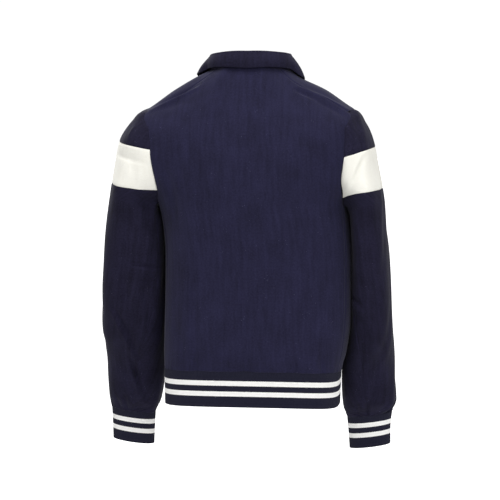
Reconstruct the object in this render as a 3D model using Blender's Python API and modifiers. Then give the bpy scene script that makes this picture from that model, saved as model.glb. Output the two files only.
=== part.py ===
"""A bomber jacket as it is worn: wool body, banded sleeves, striped rib hem and cuffs, turn-down collar.

Metres, +Z up. The front faces -Y and the wearer's left is +X. The origin is the middle of the neck, at
the height of the shoulders' inner ends. Every panel is a thin wall on a form that is worked out from
the tables below, and each is a piece that a maker would cut and sew.
"""

import math
from collections import namedtuple

import bmesh
import bpy
import numpy as np

# ---- driving sizes
CLOTH = 0.0015          # wool cloth with its turned edges
RIB = 0.0026            # rib knit, folded double
COLLAR_WALL = 0.0024    # two layers of cloth
SEAM_GAP = 0.0003       # between neighbouring pieces
SEAM_BEND = 0.15        # on a bend a wall's inner edge leans over its seam by this share of the wall
NECK_GAP = 0.0009       # the collar's stand over the neck seam
CUFF_EASE = 0.0012      # the gathered end of a sleeve turns in over its cuff's edge

ZIP_OPENING = 0.0130    # between the two front edges
CHAIN_WIDTH = 0.0058    # both rows of teeth together
CHAIN_THICK = 0.0024
CHAIN_INSET = 0.0016    # the chain's face behind the cloth's face
TAPE_WIDTH = 0.0120     # one side of the zip, from its teeth outwards
TAPE_THICK = 0.0010
SLIDER_RING = 13.35     # where the pull turns, on the body's form
SLIDER_CLEAR = 0.0004   # between the slider's plates and the chain
SLIDER = (0.0104, 0.0013, 0.0130)      # width, plate thickness, length
SLIDER_POST = (0.0026, 0.0034)         # width and height of the post between the rows of teeth
BRIDGE = (0.0026, 0.0011, 0.0094)      # width, thickness, length of the loop that holds the pull
BRIDGE_ROOM = 0.0023                   # under the bridge, for the pull's eye
PULL = (0.0074, 0.0013, 0.0300)        # width, thickness, length
PULL_EYE = (0.0042, 0.0064)            # width and height of the hole that the bridge passes through
STOP_BOX = (0.0078, 0.0020, 0.0120)    # at the foot of the zip
STOP_INSET = 0.0005
JOIN = 0.0002           # how far one block of a joined piece runs into the next

# ---- the body's form, from the hem up. Each row is a ring round the body: its height at the sides,
# how far it reaches left, right, back and front, how much higher its back and front lie than its
# sides, how much lower its right side is, and how square its back and front halves are (2 is an
# ellipse). The last columns say, in degrees from centre back, where the back panel ends on the left
# and the right, and where the chest of a front panel starts. Those edges follow the side seam, then
# the armhole, then the shoulder seam, which lies behind the shoulder's crest. A front edge of 0 is
# the same side seam; above the armhole it is the line where the chest meets the strip that goes over
# the shoulder.
Ring = namedtuple("Ring", "name level left right back front lift_back lift_front drop_right "
                          "square_back square_front seam_left seam_right front_edge")
BODY = [
    Ring("hem edge",     -0.6545, 0.171, 0.179, 0.116, 0.114, 0.0035, 0.0035, 0.003, 3.6, 2.6, 64, 77, 0),
    Ring("rib seam",     -0.584, 0.172, 0.182, 0.120, 0.119,  0.005,  0.005, 0.003, 3.5, 2.6, 65, 76, 0),
    Ring("blouse",       -0.549, 0.173, 0.191, 0.127, 0.128,  0.001,  0.001, 0.001, 3.1, 2.8, 67, 74, 0),
    Ring("waist",        -0.450, 0.171, 0.204, 0.124, 0.130,  0.000,  0.000, 0, 2.8, 3.6, 68, 68, 0),
    Ring("chest",        -0.360, 0.171, 0.204, 0.125, 0.136,  0.000,  0.000, 0, 2.6, 3.6, 69, 68, 0),
    Ring("side",         -0.300, 0.175, 0.199, 0.127, 0.138,  0.000, -0.002, 0, 2.5, 3.2, 71, 70, 0),
    Ring("underarm",     -0.255, 0.1845, 0.193, 0.128, 0.137,  0.000, -0.005, 0, 2.5, 2.6, 76, 75, 0),
    Ring("low armhole",  -0.229, 0.200, 0.204, 0.128, 0.134, -0.006, -0.016, 0, 2.5, 2.5, 61, 64, 116),
    Ring("back armhole", -0.195, 0.222, 0.222, 0.127, 0.129, -0.015, -0.030, 0, 2.5, 2.5, 52, 54, 125),
    Ring("blade",        -0.130, 0.246, 0.242, 0.124, 0.121, -0.045, -0.070, 0, 2.5, 2.5, 47, 49, 131),
    Ring("yoke",         -0.078, 0.240, 0.235, 0.120, 0.115, -0.067, -0.097, 0, 2.5, 2.5, 51, 52, 127),
    Ring("armhole top",  -0.067, 0.210, 0.205, 0.114, 0.109, -0.047, -0.082, 0, 2.6, 2.6, 70, 70, 109),
    Ring("mid shoulder", -0.028, 0.153, 0.149, 0.098, 0.100, -0.032, -0.094, 0.002, 2.3, 2.3, 60, 60, 108),
    Ring("neck side",    -0.004, 0.111, 0.106, 0.080, 0.090, -0.005, -0.087, 0.006, 2.1, 2.1, 52, 52, 106),
    Ring("neckline",      0.008, 0.083, 0.080, 0.066, 0.080,  0.011, -0.074, -0.002, 2.1, 2.1, 48, 48, 104),
]
RIB_SEAM, UNDERARM, ARMHOLE_TOP, NECKLINE = 1, 6, 11, 14

# ---- the sleeves, from the crown down. Above the underarm a row meets the armhole at a ring of the
# body, a little lower on the right. Each row gives the outer and inner side of the left and the right
# sleeve, the height of both sides, how much higher the left sleeve's outer side lies, how far the
# cloth reaches back and front of the middle, how far forward that middle is, and how square the row is.
Row = namedtuple("Row", "name ring_left ring_right outer_left outer_right outer_level inner_left "
                        "inner_right inner_level rise_left deep_left deep_right forward square")
SLEEVE = [
    Row("crown",      11,   11, 0.210, 0.205, -0.067, 0.180, 0.180, -0.072,     0, 0.050, 0.050,     0, 2.2),
    Row("high cap", 10.5, 10.5, 0.230, 0.221, -0.085, 0.160, 0.160, -0.090, 0.002, 0.062, 0.062,     0, 2.2),
    Row("cap",        10,  9.9, 0.246, 0.234, -0.106, 0.142, 0.148, -0.108, 0.005, 0.078, 0.078,     0, 2.2),
    Row("band top",  9.1,  8.8, 0.265, 0.247, -0.142, 0.128, 0.140, -0.153, 0.009, 0.090, 0.090,     0, 2.3),
    Row("mid band",    8,  7.7, 0.274, 0.255, -0.186, 0.150, 0.160, -0.200, 0.008, 0.090, 0.091,     0, 2.3),
    Row("band foot", 7.1, 6.55, 0.280, 0.262, -0.224, 0.192, 0.195, -0.233, 0.009, 0.086, 0.089,     0, 2.3),
    Row("underarm",    6,    6, 0.285, 0.266, -0.250, 0.194, 0.199, -0.256, 0.003, 0.081, 0.087, 0.002, 2.4),
    Row("upper arm",   5,    5, 0.293, 0.270, -0.305, 0.180, 0.201, -0.293,     0, 0.077, 0.086, 0.004, 2.6),
    Row("high arm",    5,    5, 0.298, 0.275, -0.364, 0.177, 0.205, -0.368,     0, 0.074, 0.084, 0.008, 3.0),
    Row("elbow",       5,    5, 0.304, 0.279, -0.430, 0.177, 0.205, -0.436,     0, 0.072, 0.082, 0.016, 3.0),
    Row("forearm",     5,    5, 0.307, 0.283, -0.513, 0.179, 0.197, -0.521,     0, 0.068, 0.075, 0.032, 2.6),
    Row("low arm",     5,    5, 0.305, 0.286, -0.593, 0.186, 0.177, -0.603,     0, 0.062, 0.062, 0.064, 2.2),
    Row("fullness",    5,    5, 0.305, 0.289, -0.656, 0.197, 0.181, -0.667,     0, 0.052, 0.052, 0.070, 2.2),
    Row("cuff seam",   5,    5, 0.300, 0.281, -0.683, 0.208, 0.188, -0.694,     0, 0.034, 0.034, 0.072, 2.1),
    Row("mid cuff",    5,    5, 0.299, 0.277, -0.715, 0.211, 0.191, -0.726,     0, 0.030, 0.030, 0.076, 2.1),
    Row("cuff edge",   5,    5, 0.299, 0.277, -0.750, 0.213, 0.193, -0.761,     0, 0.030, 0.030, 0.080, 2.1),
]
CROWN, BAND_TOP, BAND_FOOT, SLEEVE_UNDERARM, CUFF_SEAM, CUFF_EDGE = 0, 3, 5, 6, 13, 15

# ---- the collar, from centre back to its front end: degrees round the neck, the height of its stand,
# how far the stand leans in, and where the leaf's edge lies on the body, as a ring and an angle, with
# its height over the cloth.
Fold = namedtuple("Fold", "around stand lean edge_ring edge_angle clear")
COLLAR = [
    Fold(0,   0.0242, 0.003, 13.66, 0,   0.0075),
    Fold(45,  0.0272, 0.003, 13.82, 45,  0.0070),
    Fold(66,  0.0285, 0.003, 13.82, 66,  0.0055),
    Fold(88,  0.0285, 0.004, 13.10, 86,  0.0045),
    Fold(120, 0.0225, 0.004, 12.90, 120, 0.0045),
    Fold(150, 0.0140, 0.003, 12.30, 138, 0.0055),
    Fold(174, 0.0070, 0.001, 11.75, 149, 0.0055),
]
COLLAR_ROLL = 0.0036    # half the collar's width at its fold
COLLAR_BULGE = 0.0035   # how far the leaf stands out between its fold and its edge
STAND_SHARE, FOLD_SHARE = 0.35, 0.5     # where along the collar its stand ends, and its fold
UNDERARM_HOLD = 0.10    # the share of a sleeve's girth that the armhole's foot draws in, on each side
HOLD_RINGS = 2.5        # over this many rings of the body that share grows to half the girth
CREST_ROWS = 1.5        # over these rows a sleeve's crown leaves the body's own form


# ---- reading the tables
LINE_STEPS = 801        # points enough to measure a curved line with
NECK_STEP = 0.1         # rings below the neckline at which its slope is taken
NORMAL_STEP = 0.004     # in rings and in radians, the step that a face's direction is taken over


def smooth(rows, column, at):
    """One column read between its rows, on a smooth curve that never swings past them."""
    value = np.array([getattr(row, column) for row in rows], float)
    step = np.diff(value)
    rising = step[:-1] * step[1:] > 0
    slope = np.zeros_like(value)
    pairs = np.where(rising, step[:-1] + step[1:], 1.0)
    slope[1:-1] = np.where(rising, 2 * step[:-1] * step[1:] / pairs, 0.0)
    slope[0], slope[-1] = step[0], step[-1]
    at = np.asarray(at, float)
    low = np.clip(np.floor(at).astype(int), 0, len(value) - 2)
    s = at - low
    keep, turn = (1 + 2 * s) * (1 - s) ** 2, s * (1 - s) ** 2
    return (keep * value[low] + turn * slope[low]
            + (1 - keep) * value[low + 1] - s * s * (1 - s) * slope[low + 1])


def rounded(angle, square):
    """Sine and cosine of an angle, bent so that the ring they draw is as square as asked."""
    power = 2.0 / square
    sine, cosine = np.sin(angle), np.cos(angle)
    return np.sign(sine) * np.abs(sine) ** power, np.sign(cosine) * np.abs(cosine) ** power


# ---- the body
def body_point(ring, angle):
    """The body's outer face. The angle is 0 at centre back and grows to the wearer's left."""
    ring, angle = np.broadcast_arrays(np.asarray(ring, float), np.asarray(angle, float))
    behind = np.cos(angle) >= 0
    square = np.where(behind, smooth(BODY, "square_back", ring), smooth(BODY, "square_front", ring))
    across, along = rounded(angle, square)
    reach = np.where(across >= 0, smooth(BODY, "left", ring), smooth(BODY, "right", ring))
    depth = np.where(behind, smooth(BODY, "back", ring), smooth(BODY, "front", ring))
    lift = np.where(behind, smooth(BODY, "lift_back", ring), smooth(BODY, "lift_front", ring))
    level = smooth(BODY, "level", ring) + lift * np.cos(angle) ** 2
    level = level - smooth(BODY, "drop_right", ring) * np.clip(-np.sin(angle), 0, 1) ** 2
    return np.stack([reach * across, depth * along, level], axis=-1)


def across_body(rings, first_turn, last_turn, shares):
    """Rows of points across the body from one edge to another, each row's as evenly spaced as the shares."""
    rows = []
    for ring, first, last in zip(rings, np.ravel(first_turn), np.ravel(last_turn)):
        turns = np.linspace(first, last, LINE_STEPS)
        line = body_point(ring, turns)
        run = np.append(0.0, np.cumsum(np.linalg.norm(np.diff(line, axis=0), axis=1)))
        rows.append(body_point(ring, np.interp(shares, run / run[-1], turns)))
    return np.stack(rows)


def back_edge(ring, side):
    """Where the back panel ends: side is 1 on the wearer's left and -1 on the right."""
    column = "seam_left" if side > 0 else "seam_right"
    return side * np.radians(smooth(BODY, column, ring))


def front_edge(ring, side):
    """Where the chest of a front panel starts: on the side seam, or at the front of the armhole."""
    ring = np.asarray(ring, float)
    above = BODY[UNDERARM + 1:]
    armhole = np.radians(smooth(above, "front_edge", np.clip(ring - UNDERARM - 1, 0, None)))
    side_seam = np.abs(back_edge(np.minimum(ring, UNDERARM), side))
    climb = np.clip(ring - UNDERARM, 0, 1)
    return side * (side_seam + (armhole - side_seam) * climb)


def zip_edge(ring, side):
    """The angle at which a front panel stops beside the zip."""
    reach = smooth(BODY, "left" if side > 0 else "right", ring)
    share = (ZIP_OPENING / 2) / reach
    return side * (math.pi - np.arcsin(share ** (smooth(BODY, "square_front", ring) / 2)))


# ---- the sleeves
def sleeve_point(row, share, side):
    """A sleeve's outer face: share runs from 0 at the back of the armhole round to 1 at its front."""
    row, share = np.broadcast_arrays(np.asarray(row, float), np.asarray(share, float))
    hand = "left" if side > 0 else "right"
    outer, inner = smooth(SLEEVE, "outer_" + hand, row), smooth(SLEEVE, "inner_" + hand, row)
    outer_level = smooth(SLEEVE, "outer_level", row)
    if side > 0:
        outer_level = outer_level + smooth(SLEEVE, "rise_left", row)
    inner_level = smooth(SLEEVE, "inner_level", row)
    deep, square = smooth(SLEEVE, "deep_" + hand, row), smooth(SLEEVE, "square", row)
    middle = -smooth(SLEEVE, "forward", row)

    ring = np.clip(smooth(SLEEVE, "ring_" + hand, row), UNDERARM, ARMHOLE_TOP)
    back_turn, front_turn = back_edge(ring, side), front_edge(ring, side)
    back, front = body_point(ring, back_turn), body_point(ring, front_turn)

    def turn_to(edge):
        reach = np.clip((edge[..., 1] - middle) / deep, -1, 1)
        return np.arcsin(np.sign(reach) * np.abs(reach) ** (square / 2))

    def ring_point(turn):
        depth, toward = rounded(turn, square)
        x = (outer + inner) / 2 - toward * (outer - inner) / 2
        z = (outer_level + inner_level) / 2 - toward * (outer_level - inner_level) / 2
        return np.stack([side * x, middle + depth * deep, z], axis=-1)

    start, stop = turn_to(back), 2 * math.pi + turn_to(front)
    point = ring_point(start + (stop - start) * share)
    reach = UNDERARM_HOLD + (0.5 - UNDERARM_HOLD) * np.clip((ring - UNDERARM) / HOLD_RINGS, 0, 1)
    sewn = np.clip(SLEEVE_UNDERARM + 1 - row, 0, 1) ** 2
    hold_back = (sewn * np.clip(1 - share / reach, 0, 1) ** 2)[..., None]
    hold_front = (sewn * np.clip(1 - (1 - share) / reach, 0, 1) ** 2)[..., None]
    point = point + hold_back * (back - ring_point(start)) + hold_front * (front - ring_point(stop))

    over = back_turn + (front_turn - back_turn) * share
    crest = np.clip(1 - row / CREST_ROWS, 0, 1)[..., None]
    crest = crest * crest * (3 - 2 * crest)
    return point + crest * (body_point(ring, over) - point)


# ---- the collar
def collar_point(turn, share, side):
    """The collar's face: turn runs along its table, share from the neck seam (0) over the fold to the
    leaf's edge (1)."""
    turn, share = np.broadcast_arrays(np.asarray(turn, float), np.asarray(share, float))
    around = np.radians(smooth(COLLAR, "around", turn)) * side
    outward = np.stack([np.sin(around), np.cos(around), np.zeros_like(around)], axis=-1)
    neck = body_point(float(NECKLINE), around)
    rising = neck - body_point(NECKLINE - NECK_STEP, around)
    rising = rising / np.linalg.norm(rising, axis=-1, keepdims=True)
    neck = neck + rising * NECK_GAP - outward * (COLLAR_WALL + CLOTH) / 2
    stand = smooth(COLLAR, "stand", turn)[..., None]
    lean = smooth(COLLAR, "lean", turn)[..., None]
    up = np.array([0.0, 0.0, 1.0])
    inside = neck + stand * up - lean * outward
    centre = inside + COLLAR_ROLL * outward
    edge_angle = np.radians(smooth(COLLAR, "edge_angle", turn)) * side
    edge_ring = smooth(COLLAR, "edge_ring", turn)
    clear = smooth(COLLAR, "clear", turn)[..., None]
    edge = body_point(edge_ring, edge_angle) + face_normal(edge_ring, edge_angle) * clear
    outside = centre + COLLAR_ROLL * outward

    share = share[..., None]
    rise = np.clip(share / STAND_SHARE, 0, 1)
    over = np.clip((share - STAND_SHARE) / (FOLD_SHARE - STAND_SHARE), 0, 1) * math.pi
    fall = np.clip((share - FOLD_SHARE) / (1 - FOLD_SHARE), 0, 1)
    standing = neck + (inside - neck) * rise
    rolling = centre + COLLAR_ROLL * (np.sin(over) * up - np.cos(over) * outward)
    bulge = COLLAR_BULGE * np.sin(math.pi * fall) * outward
    falling = outside + (edge - outside) * fall + bulge
    return np.where(share <= STAND_SHARE, standing, np.where(share < FOLD_SHARE, rolling, falling))


def face_normal(ring, angle):
    """The outward direction of the body's face."""
    along = body_point(ring + NORMAL_STEP, angle) - body_point(ring - NORMAL_STEP, angle)
    across = body_point(ring, angle + NORMAL_STEP) - body_point(ring, angle - NORMAL_STEP)
    normal = np.cross(across, along)
    normal = normal / np.linalg.norm(normal, axis=-1, keepdims=True)
    outward = np.stack([np.sin(angle), np.cos(angle), np.full_like(angle, 0.2)], axis=-1)
    facing = np.sign(np.sum(normal * outward, axis=-1, keepdims=True))
    return normal * np.where(facing == 0, 1.0, facing)


# ---- turning a grid of points into a sewn piece
def trim(grid, first_row=0.0, last_row=0.0, first_column=0.0, last_column=0.0):
    """Draw a grid's edges in by real distances, so that it clears the pieces sewn to it."""
    grid = grid.copy()

    def draw_in(edge, next_in, distance):
        step = next_in - edge
        return edge + step / np.linalg.norm(step, axis=-1, keepdims=True) * distance

    if first_row:
        grid[0] = draw_in(grid[0], grid[1], first_row)
    if last_row:
        grid[-1] = draw_in(grid[-1], grid[-2], last_row)
    if first_column:
        grid[:, 0] = draw_in(grid[:, 0], grid[:, 1], first_column)
    if last_column:
        grid[:, -1] = draw_in(grid[:, -1], grid[:, -2], last_column)
    return grid


def material(name, colour, roughness, metallic=0.0):
    made = bpy.data.materials.new(name)
    made.use_nodes = True
    shader = made.node_tree.nodes["Principled BSDF"]
    shader.inputs["Base Color"].default_value = (*colour, 1.0)
    shader.inputs["Roughness"].default_value = roughness
    shader.inputs["Metallic"].default_value = metallic
    return made


def place(name, mesh, finish, parent=None):
    piece = bpy.data.objects.new(name, mesh)
    piece.data.materials.append(finish)
    piece.parent = parent
    jacket.objects.link(piece)
    return piece


def at_bend(thickness):
    """How far a wall's edge keeps from a seam that lies on a bend."""
    return SEAM_GAP / 2 + SEAM_BEND * thickness


def panel(name, grids, thickness, finish, inside_out=False):
    """A cloth panel: a sheet on one or more grids, given its thickness on the wearer's side."""
    sheet = bmesh.new()
    for grid in grids:
        rows, columns = grid.shape[:2]
        corner = [[sheet.verts.new(point) for point in row] for row in grid]
        for r in range(rows - 1):
            for c in range(columns - 1):
                loop = [corner[r][c], corner[r][c + 1], corner[r + 1][c + 1], corner[r + 1][c]]
                sheet.faces.new(loop[::-1] if inside_out else loop)
    bmesh.ops.remove_doubles(sheet, verts=sheet.verts, dist=0.00002)
    mesh = bpy.data.meshes.new(name)
    sheet.to_mesh(mesh)
    sheet.free()
    piece = place(name, mesh, finish)
    wall = piece.modifiers.new("wall", "SOLIDIFY")
    wall.thickness = thickness
    wall.offset = -1.0
    piece.data.shade_smooth()
    return piece


def grid_of(point, rows, columns, *rest):
    """The points of a form at every row and column asked for."""
    return point(np.asarray(rows, float)[:, None], np.asarray(columns, float)[None, :], *rest)


# ---- the collection and the materials
for old in list(bpy.data.objects):
    bpy.data.objects.remove(old, do_unlink=True)
jacket = bpy.data.collections.new("bomber_jacket")
bpy.context.scene.collection.children.link(jacket)

NAVY_WOOL = material("navy wool", (0.024, 0.023, 0.052), 0.9)
WHITE_WOOL = material("off-white wool", (0.87, 0.86, 0.81), 0.9)
NAVY_RIB = material("navy rib knit", (0.018, 0.018, 0.030), 0.95)
TAPE = material("navy zip tape", (0.016, 0.016, 0.028), 0.8)
NICKEL = material("nickelled brass", (0.62, 0.61, 0.58), 0.3, 1.0)

SIDES = {"left": 1, "right": -1}
HALF_GAP = SEAM_GAP / 2

# ---- back panel: side seam to side seam, armhole to armhole, up to the shoulder seams and the neck
BELOW_ARMHOLE = [1, 1.5, 2, 2.6, 3.3, 4, 5]
ARMHOLE_RINGS = [6, 6.35, 6.7, 7.1, 7.6, 8.2, 8.8, 9, 9.5, 10, 10.35, 10.7, 11]
OVER_ARMHOLE = [11.5, 12, 12.6, 13.3, 14]
BACK_RINGS = np.array(BELOW_ARMHOLE + ARMHOLE_RINGS + OVER_ARMHOLE, float)
BACK_SHARES = np.linspace(0, 1, 17)
back_grid = across_body(BACK_RINGS, back_edge(BACK_RINGS, -1), back_edge(BACK_RINGS, 1), BACK_SHARES)
back_grid = trim(back_grid, HALF_GAP, HALF_GAP, at_bend(CLOTH), at_bend(CLOTH))
panel("back", [back_grid], CLOTH, NAVY_WOOL, inside_out=True)

# ---- front panels: from the rib up over the chest, beside the zip, and over the shoulder's crest to
# the shoulder seam
FRONT_RINGS = BACK_RINGS
SHOULDER_RINGS = BACK_RINGS[BACK_RINGS >= ARMHOLE_TOP]
FRONT_SHARES, SHOULDER_SHARES = np.linspace(0, 1, 11), np.linspace(0, 1, 6)
for hand, side in SIDES.items():
    whole = across_body(FRONT_RINGS, front_edge(FRONT_RINGS, side), zip_edge(FRONT_RINGS, side), FRONT_SHARES)
    chest = trim(whole, HALF_GAP, HALF_GAP)
    sewn = FRONT_RINGS <= ARMHOLE_TOP
    chest[sewn] = trim(chest, first_column=at_bend(CLOTH))[sewn]
    shoulder_seam = back_edge(SHOULDER_RINGS, side)[:, None]
    crest = front_edge(SHOULDER_RINGS, side)[:, None]
    turns = shoulder_seam + (crest - shoulder_seam) * SHOULDER_SHARES
    shoulder = trim(body_point(SHOULDER_RINGS[:, None], turns), HALF_GAP, HALF_GAP, at_bend(CLOTH))
    shoulder[:, -1] = chest[-len(SHOULDER_RINGS):, 0]
    panel("front_" + hand, [chest, shoulder], CLOTH, NAVY_WOOL, inside_out=side > 0)

# ---- sleeves: cap, band and lower sleeve, and the rib cuff. Their edges at the armhole have a point
# wherever the body's panels have one.
SLEEVE_COLUMNS = np.linspace(0, 1, 16)
BELOW_UNDERARM = [6.5, 7, 7.6, 8.3, 9, 9.5, 10, 10.5, 11, 11.5, 12, 12.5, CUFF_SEAM]
CUFF_ROWS = np.array([CUFF_SEAM, 13.6, 14.3, CUFF_EDGE])
ROW_APART = 0.03        # no row of points lies nearer than this to a seam


def sleeve_rows(first, last, side):
    """The rows of SLEEVE, from first to last, that meet the armhole at the body's own rings."""
    column = "ring_left" if side > 0 else "ring_right"
    finely = np.linspace(0, SLEEVE_UNDERARM, 601)
    found = np.interp(-np.array(ARMHOLE_RINGS, float)[::-1], -smooth(SLEEVE, column, finely), finely)
    between = found[(found > first + ROW_APART) & (found < last - ROW_APART)]
    return np.concatenate([[first], between, [last]])


for hand, side in SIDES.items():
    lower_rows = np.append(sleeve_rows(BAND_FOOT, SLEEVE_UNDERARM, side), BELOW_UNDERARM)
    pieces = [
        ("sleeve_cap_", sleeve_rows(CROWN, BAND_TOP, side), NAVY_WOOL, CLOTH),
        ("sleeve_band_", sleeve_rows(BAND_TOP, BAND_FOOT, side), WHITE_WOOL, CLOTH),
        ("sleeve_lower_", lower_rows, NAVY_WOOL, CLOTH),
        ("cuff_", CUFF_ROWS, NAVY_RIB, RIB),
    ]
    for prefix, rows, finish, thickness in pieces:
        grid = grid_of(sleeve_point, rows, SLEEVE_COLUMNS, side)
        edge_gap = {BAND_FOOT: at_bend(2 * CLOTH), CUFF_SEAM: at_bend(CLOTH)}
        head_gap, foot_gap = (edge_gap.get(row, at_bend(CLOTH)) for row in (rows[0], rows[-1]))
        trimmed = trim(grid, head_gap, CUFF_EASE if rows[-1] == CUFF_SEAM else foot_gap)
        head = rows < SLEEVE_UNDERARM
        trimmed[head] = trim(trimmed, first_column=at_bend(CLOTH), last_column=at_bend(CLOTH))[head]
        panel(prefix + hand, [trimmed], thickness, finish, inside_out=side < 0)

# ---- rib hem: a back piece and two fronts
hem_rings = np.array([0, 0.33, 0.67, 1])
grid = across_body(hem_rings, back_edge(hem_rings, -1), back_edge(hem_rings, 1), BACK_SHARES)
panel("hem_rib_back", [trim(grid, 0.0, HALF_GAP, at_bend(RIB), at_bend(RIB))], RIB, NAVY_RIB, inside_out=True)
for hand, side in SIDES.items():
    grid = across_body(hem_rings, back_edge(hem_rings, side), zip_edge(hem_rings, side), FRONT_SHARES)
    panel("hem_rib_front_" + hand, [trim(grid, 0.0, HALF_GAP, at_bend(RIB))], RIB, NAVY_RIB,
          inside_out=side > 0)

# ---- collar: one piece, folded over its stand
around = np.linspace(-(len(COLLAR) - 1), len(COLLAR) - 1, 27)
COLLAR_SHARES = [0, 0.18, 0.35, 0.40, 0.45, 0.5, 0.66, 0.83, 1.0]
columns = [collar_point(abs(turn), np.array(COLLAR_SHARES), 1 if turn >= 0 else -1) for turn in around]
panel("collar", [np.stack(columns, axis=1)], COLLAR_WALL, NAVY_WOOL)

# ---- zip: two tapes behind the front edges, a row of teeth on each, a box at the foot
ZIP_RINGS = np.array([0.03, 0.33, 0.67, 1, 1.5, 2, 3.3, 5, 7, 9, 11, 12, 12.6, 13.3, 13.7])


def zip_point(ring, x, inset):
    """A point of the zip: x from the middle, and inset behind the body's face."""
    ring, x = np.broadcast_arrays(np.asarray(ring, float), np.asarray(x, float))
    reach = np.where(x >= 0, smooth(BODY, "left", ring), smooth(BODY, "right", ring))
    lean = np.arcsin((np.abs(x) / reach) ** (smooth(BODY, "square_front", ring) / 2))
    angle = np.where(x >= 0, math.pi - lean, lean - math.pi)
    return body_point(ring, angle) - face_normal(ring, np.full_like(ring, math.pi)) * inset


def ring_at(level):
    """The ring whose centre front is at this height."""
    rings = np.linspace(0, NECKLINE, 1401)
    return float(np.interp(level, body_point(rings, math.pi)[:, 2], rings))


turn_point = zip_point(SLIDER_RING, 0.0, 0.0)
slider_top = zip_point(ring_at(turn_point[2] + SLIDER[2] / 2), 0.0, 0.0)
slider_foot = zip_point(ring_at(turn_point[2] - SLIDER[2] / 2), 0.0, 0.0)
slope = math.atan2(slider_top[1] - slider_foot[1], slider_top[2] - slider_foot[2])
post_foot = turn_point[2] + (SLIDER[2] / 2 - SLIDER_POST[1] - 2 * SLIDER_CLEAR) * math.cos(slope)
stop_top = BODY[0].level + STOP_BOX[2] + 2 * SEAM_GAP
chain_rings = np.concatenate([[ring_at(stop_top + SEAM_GAP)], ZIP_RINGS[2:-2],
                              [(ZIP_RINGS[-3] + SLIDER_RING) / 2, SLIDER_RING, ring_at(post_foot)]])
for hand, side in SIDES.items():
    inner, outer = side * (CHAIN_WIDTH / 2 + SEAM_GAP), side * (CHAIN_WIDTH / 2 + TAPE_WIDTH)
    tape = grid_of(zip_point, ZIP_RINGS, [inner, outer], RIB + 2 * SEAM_GAP)
    panel("zip_tape_" + hand, [tape], TAPE_THICK, TAPE, inside_out=side < 0)
    teeth = grid_of(zip_point, chain_rings, [side * HALF_GAP, side * CHAIN_WIDTH / 2], CHAIN_INSET)
    panel("zip_teeth_" + hand, [teeth], CHAIN_THICK, NICKEL, inside_out=side < 0)

# ---- slider and pull, in the zip's own direction: -Y is out of the jacket, +Z is up the zip
cutters = bpy.data.collections.new("zip_joins")
bpy.context.scene.collection.children.link(cutters)
plate_face = CHAIN_INSET - SLIDER_CLEAR - SLIDER[1]      # the slider's outer face, behind the cloth's
turn_height = BRIDGE_ROOM / 2 - plate_face               # the pull's axis, in front of the cloth's face
axis = bpy.data.objects.new("pull_axis", None)
jacket.objects.link(axis)
axis.location = turn_point + face_normal(np.array(SLIDER_RING), np.array(math.pi)) * turn_height
axis.rotation_euler = (-slope, 0.0, 0.0)


def box(name, size, centre, collection, finish=None):
    """A box in the slider's direction, centred as given from the pull's axis."""
    shape = bmesh.new()
    bmesh.ops.create_cube(shape, size=1.0)
    bmesh.ops.scale(shape, vec=size, verts=shape.verts)
    mesh = bpy.data.meshes.new(name)
    shape.to_mesh(mesh)
    shape.free()
    made = bpy.data.objects.new(name, mesh)
    made.location = centre
    made.parent = axis
    collection.objects.link(made)
    if finish:
        mesh.materials.append(finish)
    return made


def joined(piece, parts, operation="UNION"):
    """Join boxes to a piece, or cut them from it."""
    for number, (size, centre) in enumerate(parts):
        tool = box(f"{piece.name}_tool_{number}", size, centre, cutters)
        tool.hide_render = True
        tool.display_type = "WIRE"
        join = piece.modifiers.new("join", "BOOLEAN")
        join.operation = operation
        join.object = tool


plate_y = BRIDGE_ROOM / 2 + SLIDER[1] / 2
chain_room = CHAIN_THICK + 2 * SLIDER_CLEAR
back_y = plate_y + SLIDER[1] + chain_room
slider_body = box("zip_slider", (SLIDER[0], SLIDER[1], SLIDER[2]), (0, plate_y, 0), jacket, NICKEL)
post_z = SLIDER[2] / 2 - SLIDER_POST[1] / 2
leg = (BRIDGE[0], BRIDGE_ROOM + BRIDGE[1], BRIDGE[1])
leg_y = JOIN - BRIDGE[1] / 2
leg_z = (BRIDGE[2] - BRIDGE[1]) / 2
joined(slider_body, [
    (SLIDER, (0, back_y, 0)),
    ((SLIDER_POST[0], chain_room + SLIDER[1], SLIDER_POST[1]), (0, (plate_y + back_y) / 2, post_z)),
    (leg, (0, leg_y, leg_z)),
    (leg, (0, leg_y, -leg_z)),
    (BRIDGE, (0, -(BRIDGE_ROOM + BRIDGE[1]) / 2, 0)),
])

pull_top = PULL[1] / 2
pull = box("zip_pull", PULL, (0, 0, pull_top - PULL[2] / 2), jacket, NICKEL)
eye_z = -PULL[1] / 2 - PULL_EYE[1] / 2
joined(pull, [((PULL_EYE[0], 2 * PULL[1], PULL_EYE[1]), (0, 0, eye_z))], "DIFFERENCE")

stop = box("zip_stop", STOP_BOX, (0, 0, 0), jacket, NICKEL)
stop.parent = None
foot = zip_point(0.05, 0.0, STOP_INSET + STOP_BOX[1] / 2)
stop.location = (0.0, foot[1], BODY[0].level + SEAM_GAP + STOP_BOX[2] / 2)
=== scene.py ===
"""The looks of a wool bomber jacket: every panel as a thin shell with its folds, rib knit, zip and cloth.

Metres, +Z up. The front faces -Y and the wearer's left is +X. The forms are the part's own, drawn finely.
"""

import math
from collections import namedtuple

import bmesh
import bpy
import numpy as np
from mathutils import Matrix, Vector


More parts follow.
